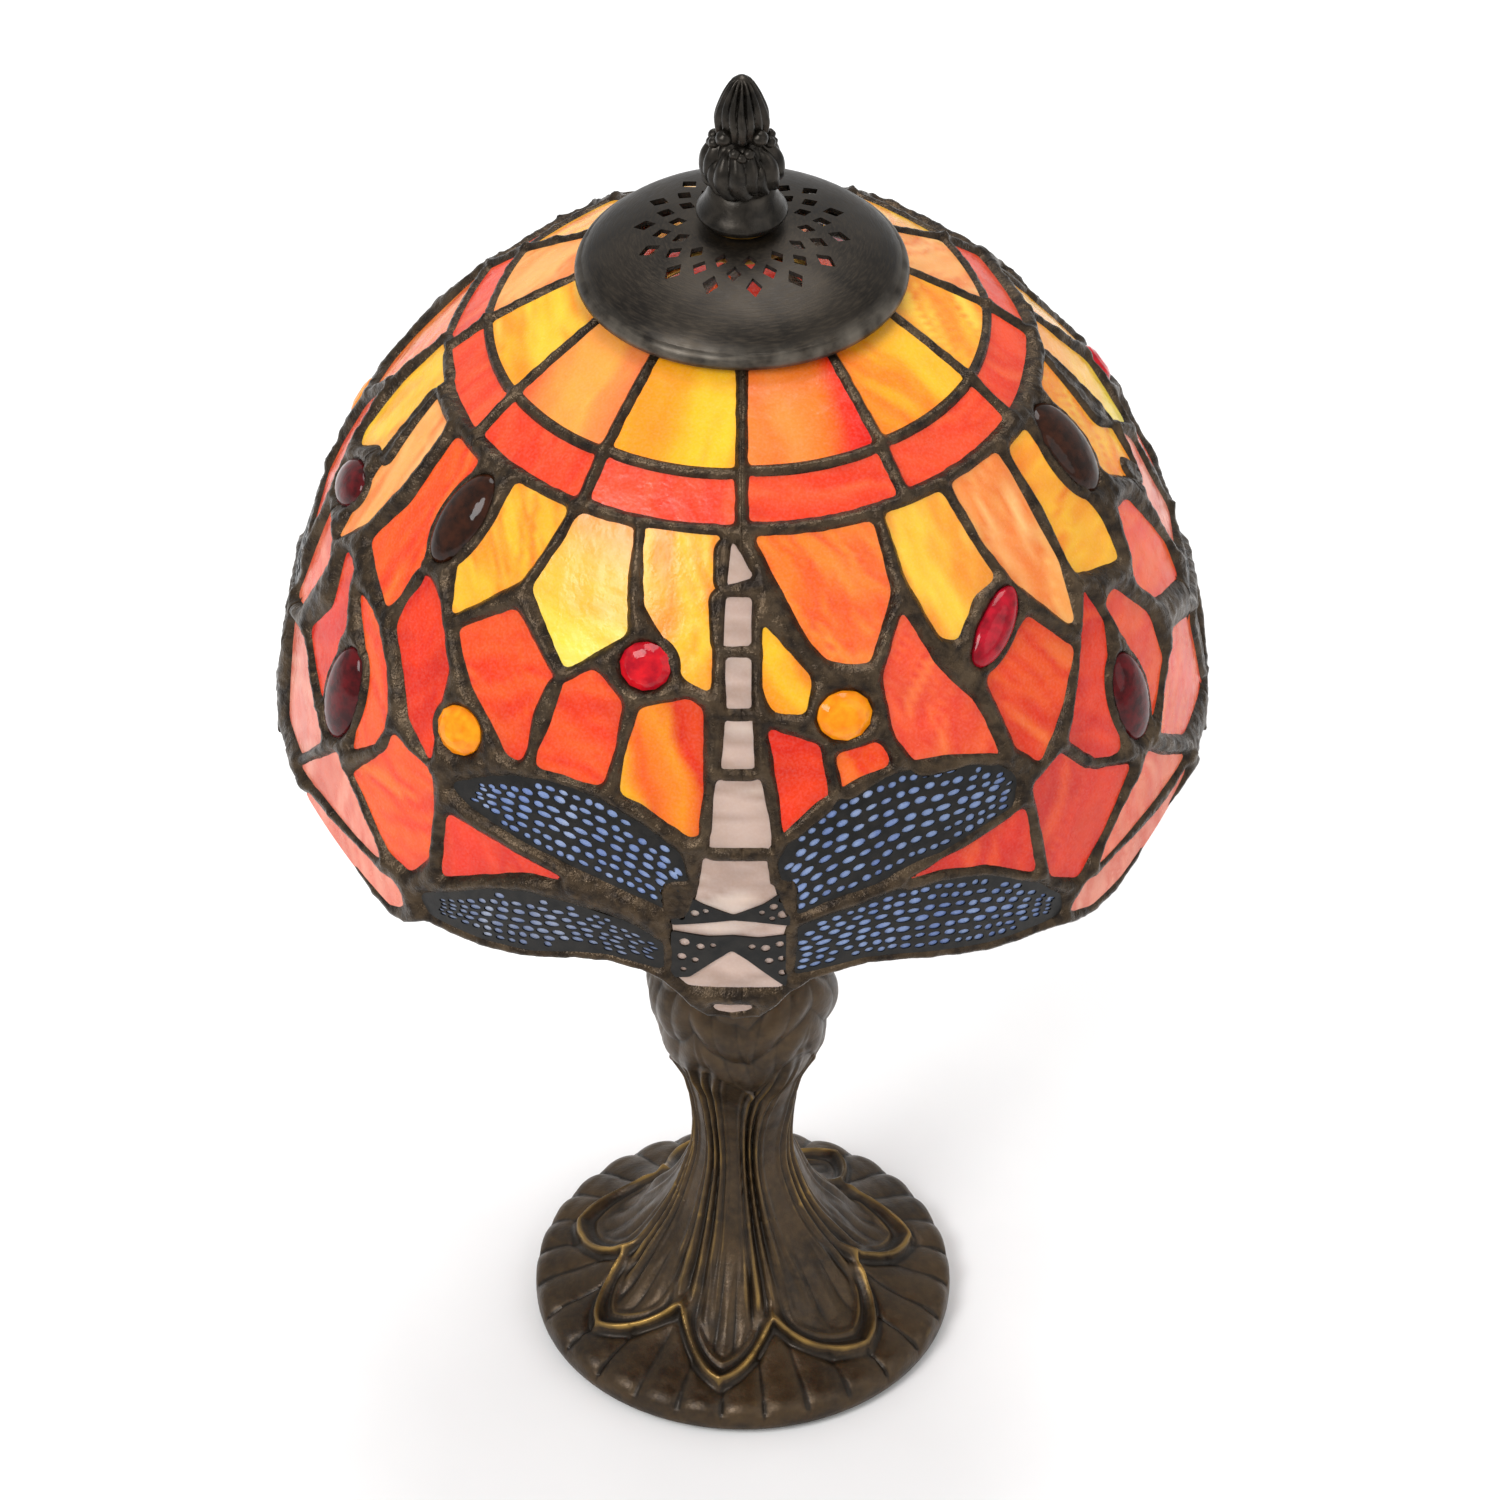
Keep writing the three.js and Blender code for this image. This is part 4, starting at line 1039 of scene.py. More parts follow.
def wing_holes(piece):
    """Ovals in rows along a wing, largest along its middle."""
    outline = piece.outline
    lengthwise = np.linalg.svd(outline - outline.mean(axis=0))[2][0]
    if lengthwise[0] < 0:
        lengthwise = -lengthwise
    crosswise = np.array([-lengthwise[1], lengthwise[0]])
    along, across = outline @ lengthwise, outline @ crosswise
    slices = np.linspace(along.min() + 1.2, along.max() - 1.2, 60)
    columns = []
    for at in slices:
        cuts = []
        for i in range(len(outline)):
            j = (i + 1) % len(outline)
            if (along[i] - at) * (along[j] - at) < 0:
                t = (at - along[i]) / (along[j] - along[i])
                cuts.append(across[i] + t * (across[j] - across[i]))
        columns.append((min(cuts), max(cuts)))
    columns = np.array(columns)
    holes = []
    for row in range(WING_HOLE_ROWS):
        share = (row + 0.5) / WING_HOLE_ROWS
        at = slices[0] + rng.uniform(0, 2.2)
        while at < slices[-1]:
            low = np.interp(at, slices, columns[:, 0])
            high = np.interp(at, slices, columns[:, 1])
            pitch = (high - low) / WING_HOLE_ROWS
            middle = 1 - abs(2 * share - 1)
            length = rng.uniform(0.7, 1.2) + 0.7 * middle * smooth(np.array(high - low), 5, 12)
            width = min(0.4 * pitch, rng.uniform(0.52, 0.78) + 0.1 * middle)
            centre_across = low + (high - low) * share + rng.uniform(-0.12, 0.12) * pitch
            centre = lengthwise * at + crosswise * centre_across
            slope = np.diff(np.interp([at - 2, at + 2], slices, columns.mean(1)))[0] / 4
            if width > NARROWEST_HOLE:
                a = np.linspace(0, 2 * math.pi, 14, endpoint=False)
                direction = lengthwise + crosswise * slope
                direction /= np.linalg.norm(direction)
                sideways = np.array([-direction[1], direction[0]])
                hole = centre + np.outer(length * np.cos(a), direction)
                hole += np.outer(width * np.sin(a), sideways)
                if edge_distance(hole, outline).max() < -0.15:
                    holes.append(hole)
            at += 2 * length + rng.uniform(0.5, 0.9)
    return holes


def build_wing_plate(piece):
    outline = grown(piece.outline, 0.7)
    plate(f"{piece.name}_filigree", outline, wing_holes(piece), piece.patch, piece.node, -0.2, 0.42)


def build_head_plates(repeat, shift):
    """The pierced collar and face over a dragonfly's thorax."""
    node = field_node(shift, True)
    for name, outline, spots in HEAD_PLATES:
        moved = [(x + shift, y) for x, y in outline]
        patch = Patch(moved)
        edge = divided(rounded(patch.flat(moved), 0.7), 2.5)
        holes = []
        a = np.linspace(0, 2 * math.pi, 16, endpoint=False)
        for x, y, radius in spots:
            centre = patch.flat([(x + shift, y)])[0]
            holes.append(centre + 1.85 * radius * np.stack([np.cos(a), 0.9 * np.sin(a)], -1))
        plate(f"{repeat}_{name}", edge, holes, patch, node, -0.2, 0.55, spacing=1.5)


def nearest_pieces(places, pieces):
    """For each place, the distances to the nearest two pieces and the offsets of their faces."""
    near, second = np.full(len(places), FAR), np.full(len(places), FAR)
    near_face, second_face = np.zeros(len(places)), np.zeros(len(places))
    for piece in pieces:
        corners = piece.patch.places(piece.outline)
        margin_up = LEAD_REACH / piece.patch.up
        highest = min(corners[:, 1].max() + margin_up, HIGHEST_MARGIN)
        margin_across = LEAD_REACH / per_degree(highest)[0]
        from_middle = (places[:, 0] - piece.patch.azimuth + 180) % 360 - 180
        half = np.abs(corners[:, 0] - piece.patch.azimuth).max() + margin_across
        chosen = np.abs(from_middle) < half
        chosen &= np.abs(places[:, 1] - piece.patch.height) < np.ptp(corners[:, 1]) / 2 + margin_up
        index = np.nonzero(chosen)[0]
        local = np.stack([from_middle[index] + piece.patch.azimuth, places[index, 1]], -1)
        distance = edge_distance(piece.patch.flat(local), piece.outline)
        face = piece.sag(local)
        nearer = distance < near[index]
        closer = index[nearer]
        second[closer], second_face[closer] = near[closer], near_face[closer]
        near[closer], near_face[closer] = distance[nearer], face[nearer]
        rest = ~nearer & (distance < second[index])
        second[index[rest]], second_face[index[rest]] = distance[rest], face[rest]
    return near, second, near_face, second_face


def kept_apart(near, second):
    """The two distances once the pieces are drawn back to leave the narrowest lead between them."""
    squeezed = NARROWEST_LEAD - second
    is_seam = squeezed > near
    return np.maximum(near, squeezed), np.where(is_seam, np.maximum(second, 0.5), second)


def lead_faces(points, near, second, near_face, second_face):
    """Offsets of the lead's outer face, inner face and middle. Under the glass it thins out."""
    width = np.clip(near, 0, FAR) + np.clip(second, 0, FAR)
    width = np.maximum(np.minimum(width, 9.0), 0.8)
    other = np.maximum(width - np.clip(near, 0, None), 0)
    fullness = np.minimum(FULLEST_BEAD, 0.42 * width)
    arch = 4 * np.clip(near, 0, None) * other / width ** 2
    lumps = 0.28 * fbm(points, 4.5, 2, 11) + 0.2 * fbm(points, 2.0, 2, 23)
    within = smooth(near, 0, 1.2)
    bead = fullness * arch + lumps * within + np.where(near < 0, 1.15 * near, 0)
    total = np.maximum(np.clip(near, 0, None) + np.clip(second, 0, FAR), 1e-6)
    lean = np.where(near < 0, 0, np.clip(near, 0, None) / total)
    base = near_face * (1 - lean) + second_face * lean
    top = base + bead
    under = base - GLASS_THICKNESS - 0.75 * bead
    middle = base - GLASS_THICKNESS / 2
    return np.maximum(top, middle + 0.05), np.minimum(under, middle - 0.05), middle


def build_lead(pieces):
    """The solder between the pieces: rounded beads that follow the glass edges."""
    azimuth = np.linspace(-180, 180, LEAD_COLUMNS, endpoint=False)
    rim = rim_height(azimuth)
    share = np.linspace(0, 1, LEAD_ROWS)[:, None]
    heights = rim[None, :] + (SHADE_TOP - rim[None, :]) * share
    azimuths = np.broadcast_to(azimuth[None, :], heights.shape)
    places = np.stack([azimuths.ravel(), heights.ravel()], -1)
    points = on_dome(places[:, 0], places[:, 1], 0)
    near, second, near_face, second_face = nearest_pieces(places, pieces)
    wander = 0.2 * fbm(points, 3.5, 2, 3)
    near, second = kept_apart(near + wander - LEAD_TRIM, second - LEAD_TRIM)
    top, under, middle = lead_faces(points, near, second, near_face, second_face)
    up = per_degree(places[:, 1])[1]
    rim_away = (places[:, 1] - np.broadcast_to(rim[None, :], heights.shape).ravel()) * up
    top_away = (SHADE_TOP - places[:, 1]) * up
    edge = np.minimum(rim_away, top_away)
    roll = np.sqrt(np.clip(1 - (1 - np.clip(edge / LEAD_EDGE_ROUND, 0, 1)) ** 2, 0, 1))
    outer = on_dome(places[:, 0], places[:, 1], middle + (top - middle) * roll)
    inner = on_dome(places[:, 0], places[:, 1], middle + (under - middle) * roll)
    covered = (near > -LEAD_LAP).reshape(heights.shape)
    index = np.arange(len(places)).reshape(heights.shape)
    lower, upper = index[:-1], index[1:]
    cells = np.stack([lower, np.roll(lower, -1, 1), np.roll(upper, -1, 1), upper], -1)
    kept = covered[:-1] | covered[1:]
    kept |= np.roll(kept, -1, 1)
    across = LEAD_COLUMNS // LEAD_SECTORS
    for sector in range(LEAD_SECTORS):
        columns = slice(sector * across, (sector + 1) * across)
        faces = cells[:, columns][kept[:, columns]]
        vertices, all_faces, _ = thick_sheet(outer, inner, faces)
        obj = mesh_object(f"solder_{sector + 1}", vertices, all_faces, LEAD, 0)
        placed(obj, "shade", "patinated_lead", "shade_leading")


def cap_height(r):
    """Height of the cap's outer face at a radius."""
    return CAP_RIM_Z + CAP_RISE * np.sqrt(np.clip(1 - (r / CAP_RADIUS) ** 2, 0, 1))


def build_cap():
    """The spun vent cap: three rows of pierced diamonds and a rolled rim."""
    def circle(radius, count):
        a = np.linspace(0, 2 * math.pi, count, endpoint=False)
        return radius * np.stack([np.sin(a), -np.cos(a)], -1)

    holes = [circle(3.5, 40)]
    for radius, width, length, start in CAP_HOLE_ROWS:
        for i in range(CAP_HOLES):
            turn = 2 * math.pi * (i + start) / CAP_HOLES
            corners = np.array([(0, -length / 2), (width / 2, 0), (0, length / 2), (-width / 2, 0)])
            diamond = rounded(corners, 0.25, 2)
            diamond = divided(diamond, 0.8) - [0, radius]
            c, s = math.cos(turn), math.sin(turn)
            holes.append(diamond @ np.array([[c, s], [-s, c]]))
    flat, triangles = filled(circle(34.6, 200), 0.95, holes)
    r = np.linalg.norm(flat, axis=1)
    dip = 0.12 * fbm(np.concatenate([flat, flat[:, :1] * 0], 1), 14, 2, 5)
    z = cap_height(r) + dip
    slope = r / (CAP_RADIUS ** 2) * CAP_RISE ** 2 / np.maximum(z - CAP_RIM_Z, 1)
    inward = flat / np.maximum(r, 1e-6)[:, None] * (slope / np.hypot(slope, 1))[:, None]
    top = np.concatenate([flat, z[:, None]], 1)
    under = z - CAP_THICKNESS / np.hypot(slope, 1)
    bottom = np.concatenate([flat - inward * CAP_THICKNESS, under[:, None]], 1)
    vertices, faces, _ = thick_sheet(top, bottom, triangles)
    placed(mesh_object("vent_cap", vertices, faces, SPUN, 40), "shade", "dark_bronze", "shade_vent_cap")
    roll = [
        (33.6, 301.2), (33.9, cap_height(33.9) - 0.1), (34.4, 301.9), (34.95, 301.4), (35.35, 300.6),
        (35.5, 299.8), (35.4, 299.1), (35.05, 298.7), (34.6, 298.8), (34.4, 299.4), (34.1, 300.4),
    ]
    placed(turned("vent_cap_rolled_rim", roll, SPUN, 240), "shade", "dark_bronze", "shade_vent_cap")


# ---- Finial ---------------------------------------------------------------------------------
FINIAL_FLANGE = [
    (8.2, 313.4), (9.2, 314), (9.75, 315), (9.6, 315.7), (8.9, 316.7), (8.1, 318.1), (7.3, 319.8),
    (6.7, 321.2),
]
FINIAL_LINE = [
    (6.1, 321.6), (6.9, 322.8), (7.6, 324.6), (7.8, 326.6), (7.4, 328.8), (6.2, 330.8), (5, 332.5),
    (4.5, 333.8), (4.9, 335.4), (5.2, 338), (4.9, 340.6), (4, 343.4), (2.7, 346), (1.3, 348.1), (0, 348.7),
]
FINIAL_BORE = [(0, 330), (3.4, 330), (3.4, 313.4)]
# Azimuth in each quarter, distance from the axis, height and radius
FINIAL_BERRIES = [(45, 5.2, 335.4, 1.85), (-14, 6, 332.9, 1.3), (0, 6.4, 332.2, 1.15), (14, 6, 332.9, 1.3)]


def eased(points, longest):
    """A profile through the points, smoothed and finely divided. It stays open."""
    points = np.asarray(points, float)
    padded = np.concatenate([[2 * points[0] - points[1]], points, [2 * points[-1] - points[-2]]])
    result = []
    for i in range(1, len(padded) - 2):
        p0, p1, p2, p3 = padded[i - 1:i + 3]
        count = max(2, math.ceil(np.linalg.norm(p2 - p1) / longest))
        for t in np.linspace(0, 1, count, endpoint=False):
            result.append(0.5 * (
                2 * p1 + (p2 - p0) * t + (2 * p0 - 5 * p1 + 4 * p2 - p3) * t * t
                + (3 * p1 - p0 - 3 * p2 + p3) * t ** 3
            ))
    result.append(points[-1])
    return np.array(result)


def finial_relief(azimuth, r, z):
    """Four curling leaves round the bulb, then a ribbed bud."""
    leaf_zone = smooth(z, 321.4, 323) * (1 - smooth(z, 331, 333.5))
    curl = azimuth + 20 * np.sin((z - 319) / 4.2) + 45
    leaf = (curl * 4 / 360) % 1 - 0.5
    strands = np.abs(np.sin((leaf * 3.2 + 0.17 * (z - 326) + 0.25 * np.sin((z - 320) / 2)) * math.pi))
    lobes = 1 - (2 * np.abs(leaf)) ** 3
    relief = leaf_zone * (1.2 * lobes - 0.8 + 0.95 * strands)
    bud_zone = smooth(z, 334, 335.2) * (1 - smooth(z, 346.5, 348.4))
    ribs = np.abs(np.cos(azimuth * RADIAN * 7 + 0.25 * np.sin(z / 2)))
    petals = 0.55 * np.cos(azimuth * RADIAN * 4) * (1 - smooth(z, 337, 343))
    return relief + bud_zone * (0.8 * ribs - 0.45 + petals)


def build_finial():
    profile = np.concatenate([FINIAL_FLANGE, eased(FINIAL_LINE, 0.3), FINIAL_BORE])
    finial = turned("finial_casting", profile, FINIAL_METAL, 256, finial_relief, 60)
    placed(finial, "finial", "dark_bronze", "finial")
    for k in range(4):
        for i, (azimuth, ring, height, size) in enumerate(FINIAL_BERRIES):
            a = (azimuth + 90 * k) * RADIAN
            centre = (ring * math.sin(a), -ring * math.cos(a), height)
            placed(berry(f"finial_berry_{k + 1}_{i + 1}", centre, size), "finial", "dark_bronze", "finial")


def berry(name, centre, radius):
    """A small cast berry, a little uneven."""
    a = np.linspace(0, math.pi, 13)
    profile = np.stack([radius * np.sin(a), -radius * np.cos(a)], -1)
    profile[0, 0] = profile[-1, 0] = 0
    def unevenness(azimuth, r, z):
        return 0.05 * np.cos(azimuth * RADIAN * 3 + 4 * z)

    obj = turned(name, profile, FINIAL_METAL, 24, unevenness, 80)
    obj.location = Vector(centre) * MM
    return obj


# ---- Stem and foot --------------------------------------------------------------------------
LEAVES = 7
LEAF_TURN = -6.0  # azimuth of the front leaf
STEM_SPLIT_Z = 36.0
FOOT_SKIRT = [
    (5.3, 15.6), (24, 15.6), (30, 11.5), (40, 6), (45.5, 3.5), (45.5, 1.5), (48.9, 1.5), (49.5, 2.1),
    (49.6, 3.4),
]
FOOT_LINE = [
    (49.3, 5.4), (47.9, 7), (46, 8.1), (43, 9.3), (40, 10.2), (35, 12.4), (30, 15.8), (25, 20.8),
    (20, 27.5), (17.3, 32), (15.4, 36),
]
STEM_LINE = [
    (15.4, 36), (13.6, 41), (12.2, 47), (11.5, 53), (11.5, 57), (11.7, 60), (12.1, 63), (12.4, 66),
    (13.1, 69), (13.9, 72.5), (15.3, 75.6), (16.8, 78.7), (18, 82), (18.9, 85), (19.8, 88), (20.6, 91),
    (21.2, 94), (21.5, 97), (21.6, 100.5), (20.8, 105), (18.5, 109.5), (15.5, 112.6), (14, 113.8),
]


def leaf_share(azimuth, sway=0.0):
    """0 on a foot leaf's midrib, 1 midway between two leaves."""
    wander = 4 * np.sin(azimuth * RADIAN * 2 + 1) + 2 * np.sin(azimuth * RADIAN * 5)
    turn = (azimuth - LEAF_TURN + wander + sway) * LEAVES / 360
    return np.abs((turn + 0.5) % 1 - 0.5) * 2


def stem_ridges(azimuth, z):
    """Flowing ribs that gather between the leaves and run up the stem."""
    sway = 7 * np.sin((z - 30) / 13 + azimuth * RADIAN) + 3 * np.sin(azimuth * RADIAN * 2 + z / 9)
    share = leaf_share(azimuth, sway)
    ridges = 0.9 * bump_at(share - 1, 0.1) + 1.1 * bump_at(share - 0.66, 0.11)
    ridges = ridges + 0.5 * bump_at(share - 0.38, 0.08) - 0.35 * bump_at(share - 0.84, 0.08)
    return ridges


def base_relief(azimuth, r, z):
    """All the modelling of the casting, as a push along its surface normal."""
    azimuth = azimuth + 0 * z
    share = leaf_share(azimuth)
    size = 0.9 * np.sin(azimuth * RADIAN * 2 + 2) + 0.6 * np.sin(azimuth * RADIAN * 3)
    point = 0.45 * (1 - share) + 0.55 * (0.5 + 0.5 * np.cos(share * math.pi)) ** 0.7
    edge = 28.6 + size + 13.4 * point
    outside = r - edge
    # Foot leaves: a full raised hem, a sunk field inside it and veins that fan from the stem.
    on_foot = 1 - smooth(z, 20, 34)
    leaf_face = smooth(-outside, -0.6, 1.2)
    hem = 1.55 * bump_at(outside + 0.9, 1.25) - 0.45 * bump_at(outside - 1.6, 1.0)
    dish = -0.85 * smooth(-outside, 1.8, 4.5) * (1 - smooth(-outside, 9, 17))
    inner_hem = 0.7 * bump_at(outside + 5.4 - 1.5 * share, 0.9) * (1 - smooth(share, 0.45, 0.75))
    fan = np.abs(np.cos(share * 2.6 * math.pi))
    veins = 0.75 * (fan - 0.5) * smooth(-outside, 5.5, 8) * (1 - smooth(-outside, 15, 24))
    foot = on_foot * (0.7 * leaf_face + hem + dish + inner_hem + veins)
    pleat = np.abs(np.cos(azimuth * RADIAN * 14 + 0.25 * np.sin(azimuth * RADIAN * 3)))
    pleats = (1 - leaf_face) * (np.sqrt(pleat) - 0.6) * smooth(r, 27, 36)
    rim_roll = 0.6 * smooth(r, 45, 47) * (np.sqrt(pleat) - 0.55)
    # Bulb leaves: they hang down in nested folds over the top of the stem.
    drift = 5 * np.sin(z / 7 + azimuth * RADIAN * 2)
    turn = ((azimuth - 8 + drift + 7 * np.sin(azimuth * RADIAN * 2)) * 4 / 360) % 1
    leaf = np.abs(turn - 0.5) * 2  # 1 at a leaf's tip line
    hem_z = 88 - 14 * leaf ** 1.5 + 2.5 * np.sin(azimuth * RADIAN * 3)
    above = z - hem_z
    cover = smooth(above, -0.6, 1.6)
    nested = np.abs(np.sin((above / 8 + 0.35 * np.sin(leaf * 4)) * math.pi / 1.6))
    folds = (1.3 * nested - 0.5) * smooth(above, 0.5, 2.5) * (1 - smooth(above, 24, 34))
    long_folds = 0.5 * np.abs(np.sin((leaf * 2.4 + 0.02 * z) * math.pi))
    bulb_zone = smooth(z, 66, 72) * (1 - smooth(z, 108, 112))
    bulb = (folds + (long_folds - 0.6) * cover + 0.5 * bump_at(above - 0.9, 1.1)) * bulb_zone
    gather = smooth(-r, -34, -24) * (1 - smooth(z, 80, 92)) * (1 - 0.7 * cover * bulb_zone)
    stem = gather * (stem_ridges(azimuth, z) - 0.6 * smooth(z, 40, 50))
    fade = smooth(z, 4.6, 6.5) * (1 - smooth(z, 111, 113.5))
    total = (foot + pleats + rim_roll + stem + bulb) * fade
    return np.where(r < 8, 0, total)


def build_base():
    """The casting in two pieces, which meet at STEM_SPLIT_Z."""
    split = [(5.3, STEM_SPLIT_Z)]
    foot = np.concatenate([FOOT_SKIRT, eased(FOOT_LINE, 0.42), split])
    stem = np.concatenate([split, eased(STEM_LINE, 0.34), [(13.6, 114), (5.3, 114)]])
    for name, profile, sides in (("foot_casting", foot, 480), ("stem_casting", stem, 384)):
        casting = turned(name, profile, BRONZE, sides, base_relief, 60, True)
        placed(casting, "root", "antique_bronze", "base_casting")


# ---- Hardware -------------------------------------------------------------------------------
def thread(radius, bottom, top, pitch, depth):
    """Profile points of a screw thread, as rings."""
    points = []
    z = bottom
    while z < top - 1e-6:
        points += [(radius - depth, z), (radius, min(z + pitch / 2, top))]
        z += pitch
    return points + [(radius - depth, top)]


def soft_profile(points, cut):
    """A closed profile with its corners eased; points on the axis stay there."""
    made = rounded(points, cut, 2)
    made[:, 0] = np.maximum(made[:, 0], 0)
    return made


def tube(name, outer, inner, bottom, top, material, sides=96):
    profile = soft_profile([(inner, bottom), (outer, bottom), (outer, top), (inner, top)], 0.2)
    return turned(name, profile, material, sides)


def build_foot_hardware():
    """What is fixed through and under the casting."""
    felt = [(0, 0.02), (46.6, 0.02), (47, 0.3), (47, 1.0), (46.7, 1.2), (0, 1.2)]
    placed(turned("felt_disc", felt, FELT, 160), "root", "felt", "base_felt_pad")
    inlet = [
        (1.9, 36), (2.7, 36), (2.7, 49.8), (3.5, 49.9), (3.5, 50.9), (3.2, 51.2), (2.1, 51.2), (1.9, 51),
    ]
    bushing = turned("cord_inlet_bushing", inlet, PHENOLIC, 48)
    bushing.rotation_euler = (-math.pi / 2, 0, 0)
    bushing.location = (0, 0, 5.2 * MM)
    placed(bushing, "root", "phenolic", "cord_bushing")
    nut_profile = soft_profile([(5.2, 8.5), (8.4, 8.5), (8.4, 13.7), (5.2, 13.7)], 0.5)
    placed(turned("hex_nut", nut_profile, STEEL, 6, None, 20), "root", "zinc_steel", "bottom_hex_nut")
    placed(tube("lock_washer", 11, 5.3, 14, 15.3, STEEL), "root", "zinc_steel", "bottom_lock_washer")
    pipe = [(3.2, 6), *thread(4.9, 6, 130, 1.0, 0.45), (3.2, 130)]
    placed(turned("nipple_pipe", pipe, STEEL, 40, None, 30), "root", "zinc_steel", "threaded_pipe")
    placed(tube("check_ring", 11, 5.3, 114.3, 117, BRASS), "root", "brass", "column_check_ring")


def build_harp():
    for side, x in (("left", -24), ("right", 24)):
        sleeve = tube(f"harp_sleeve_tube_{side}", 4.6, 3.6, 124, 136, BRASS, 48)
        sleeve.location.x = x * MM
        placed(sleeve, f"sleeve_{side}", "brass", f"harp_sleeve_{side}")
    stud = [(0, 305.5), (5.7, 305.5), (6, 305.8), (6, 307.8), (5.7, 308.1), (2.65, 308.1)]
    stud += thread(3.1, 308.4, 324, 0.9, 0.4) + [(2.2, 324.5), (0, 324.5)]
    placed(turned("harp_stud", stud, BRASS, 48, None, 30), "root", "brass", "harp_top_stud")
    placed(harp_wire(), "root", "brass", "harp_wire")
    placed(saddle(), "root", "brass", "harp_saddle")


def build_socket():
    cap = soft_profile([
        (5.2, 119.1), (7.6, 119.1), (7.6, 124), (14, 128), (16.6, 132.5), (16.6, 137), (15.6, 137),
        (15.6, 133), (13.2, 129.4), (7.6, 126), (5.2, 126)], 0.8)
    placed(turned("socket_cap_cup", cap, BRASS), "root", "brass", "socket_cap")
    body = [(0, 138.5), (14.6, 138.5), (15, 138.9), (15, 148.6), (14.6, 149), (12, 150), (0, 150)]
    placed(turned("socket_interior", body, PHENOLIC), "root", "phenolic", "socket_body")
    wall = [(16.8, 138.5), (16.6, 150), (16.7, 152), (16.5, 155), (16.8, 160), (16.8, 176.6)]
    shell = np.concatenate([
        [(15.8, 137.3), (16.8, 137.3)], eased(wall, 1.5), [(16.2, 178), (15.4, 178), (15.8, 176.2)]])
    placed(turned("socket_sleeve", shell, BRASS), "root", "brass", "socket_shell")
    screw = [(13.55, 150.3), *thread(14.2, 150.3, 176.5, 3.6, 0.35), (13.55, 176.5)]
    placed(turned("socket_thread", screw, ALUMINIUM), "root", "aluminium_shell", "socket_screw_shell")
    contact = [(0, 150.3), (6, 150.3), (6, 151), (3.2, 151.4), (2.7, 152.8), (2.3, 153.1), (0, 153.1)]
    placed(turned("centre_contact", contact, BRASS, 48), "root", "brass", "socket_centre_contact")


def build_bulb():
    tip = [(0, 153.4), (2.4, 153.4), (3.4, 154), (3.6, 154.8), (3.6, 155.6), (0, 155.6)]
    placed(turned("bulb_tip", tip, STEEL, 48), "bulb_tip", "zinc_steel", "bulb_tip_contact")
    cone = [(0, 155.9), (4.2, 155.9), (4.6, 156.1), (11.2, 159.2), (11.4, 159.6), (11.4, 160.6), (0, 160.6)]
    placed(turned("bulb_black_glass", cone, PHENOLIC, 72), "bulb", "phenolic", "bulb_insulator")
    base = [(12.5, 160.9), *thread(13.1, 160.9, 181, 3.6, 0.5), (13.0, 183), (12.5, 183)]
    placed(turned("bulb_cap_shell", base, ALUMINIUM), "bulb", "aluminium_shell", "bulb_screw_base")
    globe = eased([
        (12, 170), (12.1, 184), (14.4, 191), (20, 202), (27, 216), (30, 230), (28.6, 241), (22.5, 253),
        (12, 260.4), (0, 262.4)], 1.5)
    inner = eased([
        (0, 261.6), (11.8, 259.5), (21.9, 252.4), (27.8, 240.7), (29.2, 230), (26.3, 216.4), (19.2, 202.4),
        (13.6, 191.4), (11.3, 184), (11.2, 170)], 1.5)
    envelope = np.concatenate([globe, inner])
    envelope[:, 0] = np.maximum(envelope[:, 0], 0)
    placed(turned("bulb_globe", envelope, FROSTED), "bulb", "frosted_glass", "bulb_glass")


def build_shade_washers():
    placed(tube("rest_washer", 11, 3.5, 308.4, 309.6, BRASS), "shade_rest", "brass", "shade_rest_washer")
    placed(tube("top_washer", 7.4, 3.5, 312.3, 313.1, BRASS), "finial_washer", "brass", "finial_washer")


def harp_wire():
    half = [
        (24, 131.5), (24, 140), (24, 150), (27, 160), (34, 172), (40, 188), (43, 208), (43, 236),
        (39, 262), (30, 284), (16, 299),
    ]
    line = eased([(-x, z) for x, z in half] + [(0, 303.6)] + half[::-1], 2.0)
    path = np.stack([line[:, 0], 0 * line[:, 0], line[:, 1]], -1)
    return wire("harp_wire_bend", path, 1.6, BRASS)


def saddle():
    """The bent strip under the socket that holds the harp's feet."""
    half = [(24.8, 131.2), (24.8, 120.8), (22.6, 117.3)]
    inner = [(23.2, 131.2), (23.2, 121.3), (21.8, 118.8)]
    outline = half + [(-x, z) for x, z in reversed(half)]
    outline += [(-x, z) for x, z in inner] + inner[::-1]
    outline = rounded(outline, 0.8, 3)
    loop = outline if signed_area(outline) > 0 else outline[::-1]
    flat, triangles = filled(loop, 3.0)
    half_width = np.full(len(flat), 3.0)
    near = np.stack([flat[:, 0], -half_width, flat[:, 1]], -1)
    far = np.stack([flat[:, 0], half_width, flat[:, 1]], -1)
    vertices, faces, _ = thick_sheet(near, far, triangles)
    obj = mesh_object("harp_saddle_strip", vertices, faces, BRASS, 35)
    soften = obj.modifiers.new("eased edges", "BEVEL")
    soften.width = 0.35 * MM
    soften.segments = 2
    soften.limit_method = "ANGLE"
    return obj


# ---- Stage ----------------------------------------------------------------------------------
FLOOR_REACH = 6000
CAMERA_PLACE = (0.0017, -1.1524, 1.1173)
CAMERA_TILT = 39.49  # degrees below level
CAMERA_LENS = 159.8


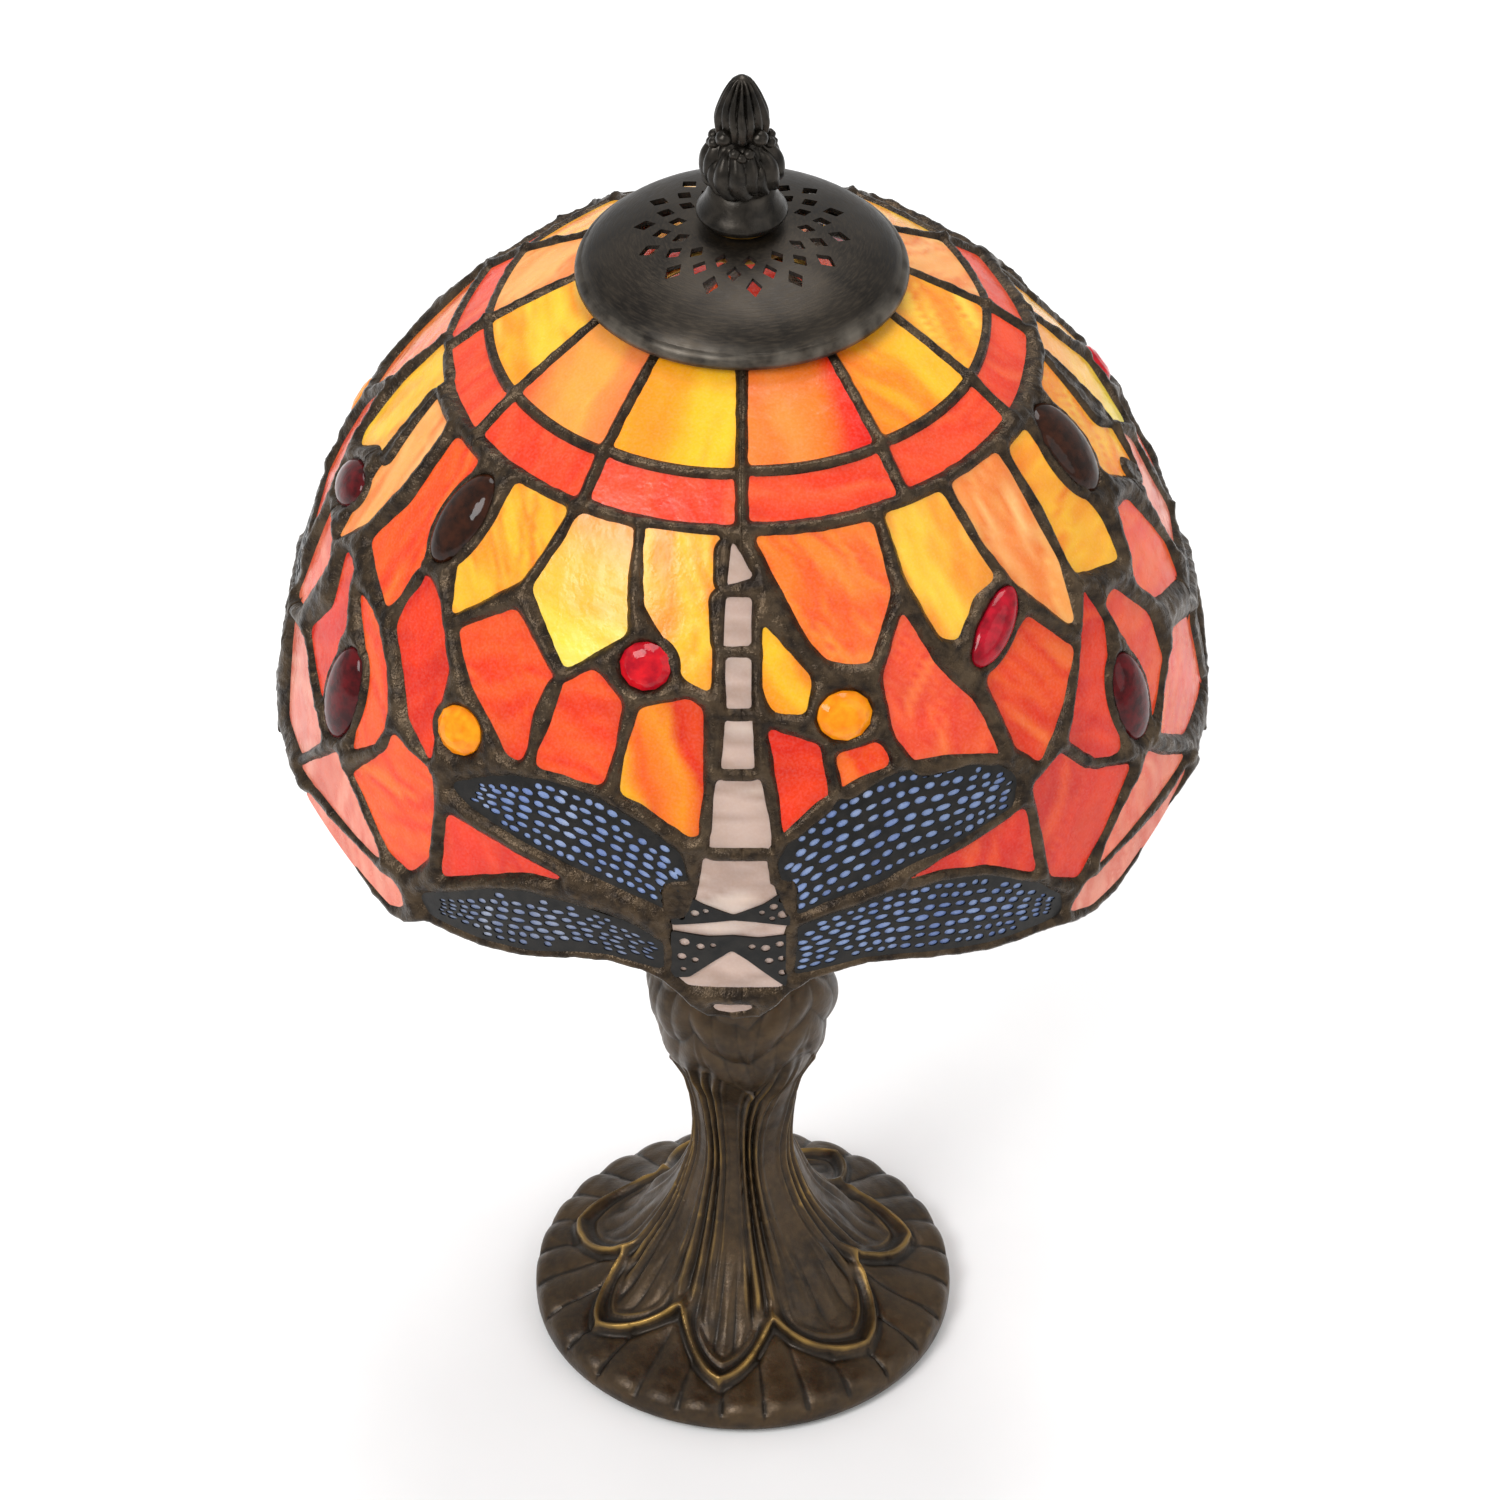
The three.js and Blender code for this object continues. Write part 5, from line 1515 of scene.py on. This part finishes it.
def soft_light(name, place, aim, size, power):
    data = bpy.data.lights.new(name, "AREA")
    data.shape = "DISK"
    data.size = size
    data.energy = power
    light = bpy.data.objects.new(name, data)
    light.location = place
    light.rotation_euler = (Vector(aim) - Vector(place)).to_track_quat("-Z", "Y").to_euler()
    bpy.context.scene.collection.objects.link(light)


def build_stage():
    corners = [(x * FLOOR_REACH, y * FLOOR_REACH, 0) for x, y in ((-1, -1), (1, -1), (1, 1), (-1, 1))]
    floor = mesh_object("floor", corners, [(0, 1, 2, 3)], floor_material(), 0)
    world = bpy.data.worlds.new("studio")
    bpy.context.scene.world = world
    world.use_nodes = True
    background = world.node_tree.nodes["Background"]
    background.inputs["Color"].default_value = (1, 1, 1, 1)
    background.inputs["Strength"].default_value = 0.62
    aim = (0, 0, 0.2)
    soft_light("key", (-0.9, -1.1, 1.5), aim, 0.9, 23)
    soft_light("fill", (1.2, -0.9, 1.0), aim, 1.6, 6)
    soft_light("top", (0.1, 0.5, 1.7), aim, 1.0, 15)
    camera = bpy.data.cameras.new("camera")
    camera.lens = CAMERA_LENS
    camera.sensor_width = 36
    holder = bpy.data.objects.new("camera", camera)
    holder.location = CAMERA_PLACE
    holder.rotation_euler = (math.radians(90 - CAMERA_TILT), 0, 0)
    bpy.context.scene.collection.objects.link(holder)
    bpy.context.scene.camera = holder
    bpy.context.scene.view_settings.view_transform = "Standard"


def floor_material():
    r = Recipe("pale floor")
    colour = r.mottle(60, 3, 0.3, 0.7, "#F4F4F4", "#F8F8F8")
    return r.finish(Base_Color=colour, Roughness=0.9, Specular_IOR_Level=0.1)


# ---- Assembly -------------------------------------------------------------------------------
build_stage()
PIECES = all_pieces()
for glass_piece in PIECES:
    if glass_piece.kind == "jewel":
        build_jewel(glass_piece)
    else:
        build_glass(glass_piece)
    if glass_piece.kind == "wing":
        build_wing_plate(glass_piece)
for repeat_name, repeat_shift in REPEAT_SHIFTS.items():
    build_head_plates(repeat_name, repeat_shift)
build_lead(PIECES)
build_cap()
build_finial()
build_base()
build_foot_hardware()
build_harp()
build_socket()
build_bulb()
build_shade_washers()
